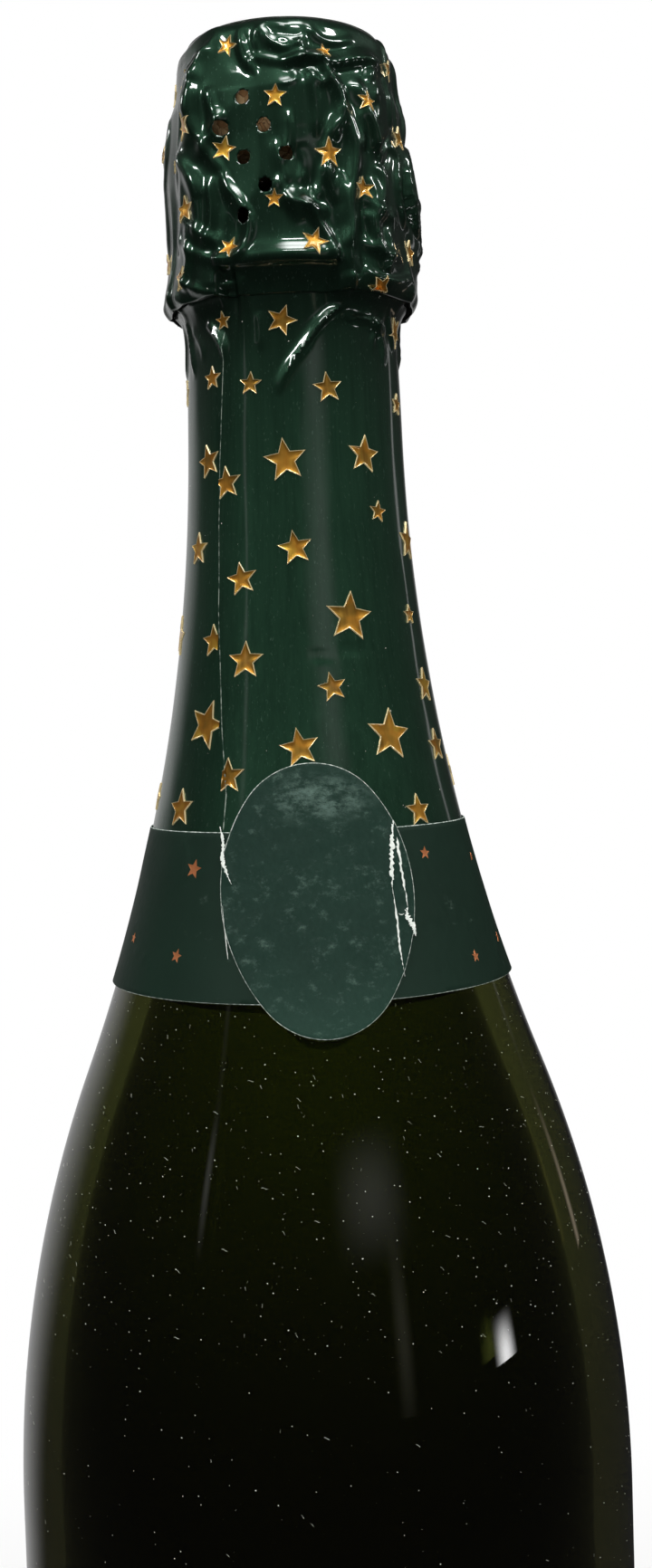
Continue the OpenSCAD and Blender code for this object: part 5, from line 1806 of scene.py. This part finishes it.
def dust_tree(material):
    """Geometry Nodes that strew a die over a skin, with a named density, sizes and seed."""
    inputs = {"Skin": "NodeSocketGeometry", "Die": "NodeSocketObject", "Density": "NodeSocketFloat",
              "Smallest": "NodeSocketFloat", "Largest": "NodeSocketFloat", "Seed": "NodeSocketInt"}
    tree, steps, (skin, die, density, smallest, largest, seed) = start_tree("dust", inputs, "Dust")
    strewn = tree.nodes.new("GeometryNodeDistributePointsOnFaces")
    for key, value in (("Mesh", skin), ("Density", density), ("Seed", seed)):
        steps.put(strewn.inputs[key], value)
    places, upright = (Wire(steps, strewn.outputs[name]) for name in ("Points", "Rotation"))

    def draw_up_to(most):
        sockets = {"Min": 0.0, "Max": most, "Seed": seed}
        return steps.node("FunctionNodeRandomValue", {"data_type": "FLOAT"}, sockets, 1)

    turned = steps.node("FunctionNodeAxisAngleToRotation", {}, {"Axis": (0, 0, 1), "Angle": draw_up_to(6.28)})
    both = steps.node("FunctionNodeRotateRotation", {"rotation_space": "LOCAL"},
                      {"Rotation": upright, "Rotate By": turned})
    size = smallest + (largest - smallest) * draw_up_to(1.0) ** 3.0
    end_tree(steps, places, die, both, size, material, "Dust")
    return tree


def strew(name, skin, die, density, smallest, largest, seed, body):
    """Runs the dust tree over a skin and keeps the result as a plain mesh on a body."""
    holder = bpy.data.objects.new(name, skin.data.copy())
    bpy.context.scene.collection.objects.link(holder)
    run_tree(holder, dust_group, {"Die": die, "Density": density, "Smallest": smallest * MM,
                                  "Largest": largest * MM, "Seed": seed})
    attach(holder, body)
    print(name, len(holder.data.polygons), "faces")


def dust_skin(low, high):
    """An open band of the glass wall between two heights, for dust to lie on."""
    wall_zs = np.linspace(low, high, 24)
    turns_round = np.arange(96) * 2 * math.pi / 96
    points = [on_ring(a, float(glass_radius(z)), z) for z in wall_zs for a in turns_round]
    return link_mesh("dust_skin", points, grid_faces(len(wall_zs), len(turns_round)), [])


# %% Dust on the skins
dust_material, dusty = new_material("dust", Roughness=0.9)
dusty.feed(Base_Color=dusty.mix(dusty.noise(200, 2.0), rgb(150, 152, 138), rgb(240, 242, 232)))
dust_group = dust_tree(dust_material)
speck, fibre_die = make_speck(), make_fibre()
shoulder_skin = dust_skin(146 * MM, 189 * MM)
upper_skin = dust_skin(100 * MM, 146 * MM)
lower_skin = dust_skin(9 * MM, 100 * MM)
# Name, skin and die; how many on a square metre; smallest and largest in mm; seed and body
DUST = [
    ("dust_shoulder", shoulder_skin, speck, 2.6e5, 0.02, 0.09, 3, "bottle"),
    ("dust_upper", upper_skin, speck, 1.1e5, 0.02, 0.09, 9, "bottle"),
    ("dust_lower", lower_skin, speck, 4e4, 0.02, 0.09, 4, "bottle"),
    ("lint_shoulder", shoulder_skin, fibre_die, 6.0e4, 0.15, 0.85, 5, "bottle"),
    ("lint_upper", upper_skin, fibre_die, 2.0e4, 0.15, 0.8, 10, "bottle"),
    ("dust_neck", sleeve_piece, speck, 1.8e4, 0.02, 0.09, 6, "bottle"),
    ("lint_neck", sleeve_piece, fibre_die, 1.0e3, 0.5, 2.2, 7, "bottle"),
    ("dust_hood", hood_piece, speck, 1.5e4, 0.02, 0.08, 8, "hood"),
]
for dust_row in DUST:
    strew(*dust_row)
for helper in (speck, fibre_die, shoulder_skin, upper_skin, lower_skin):
    bpy.data.objects.remove(helper)
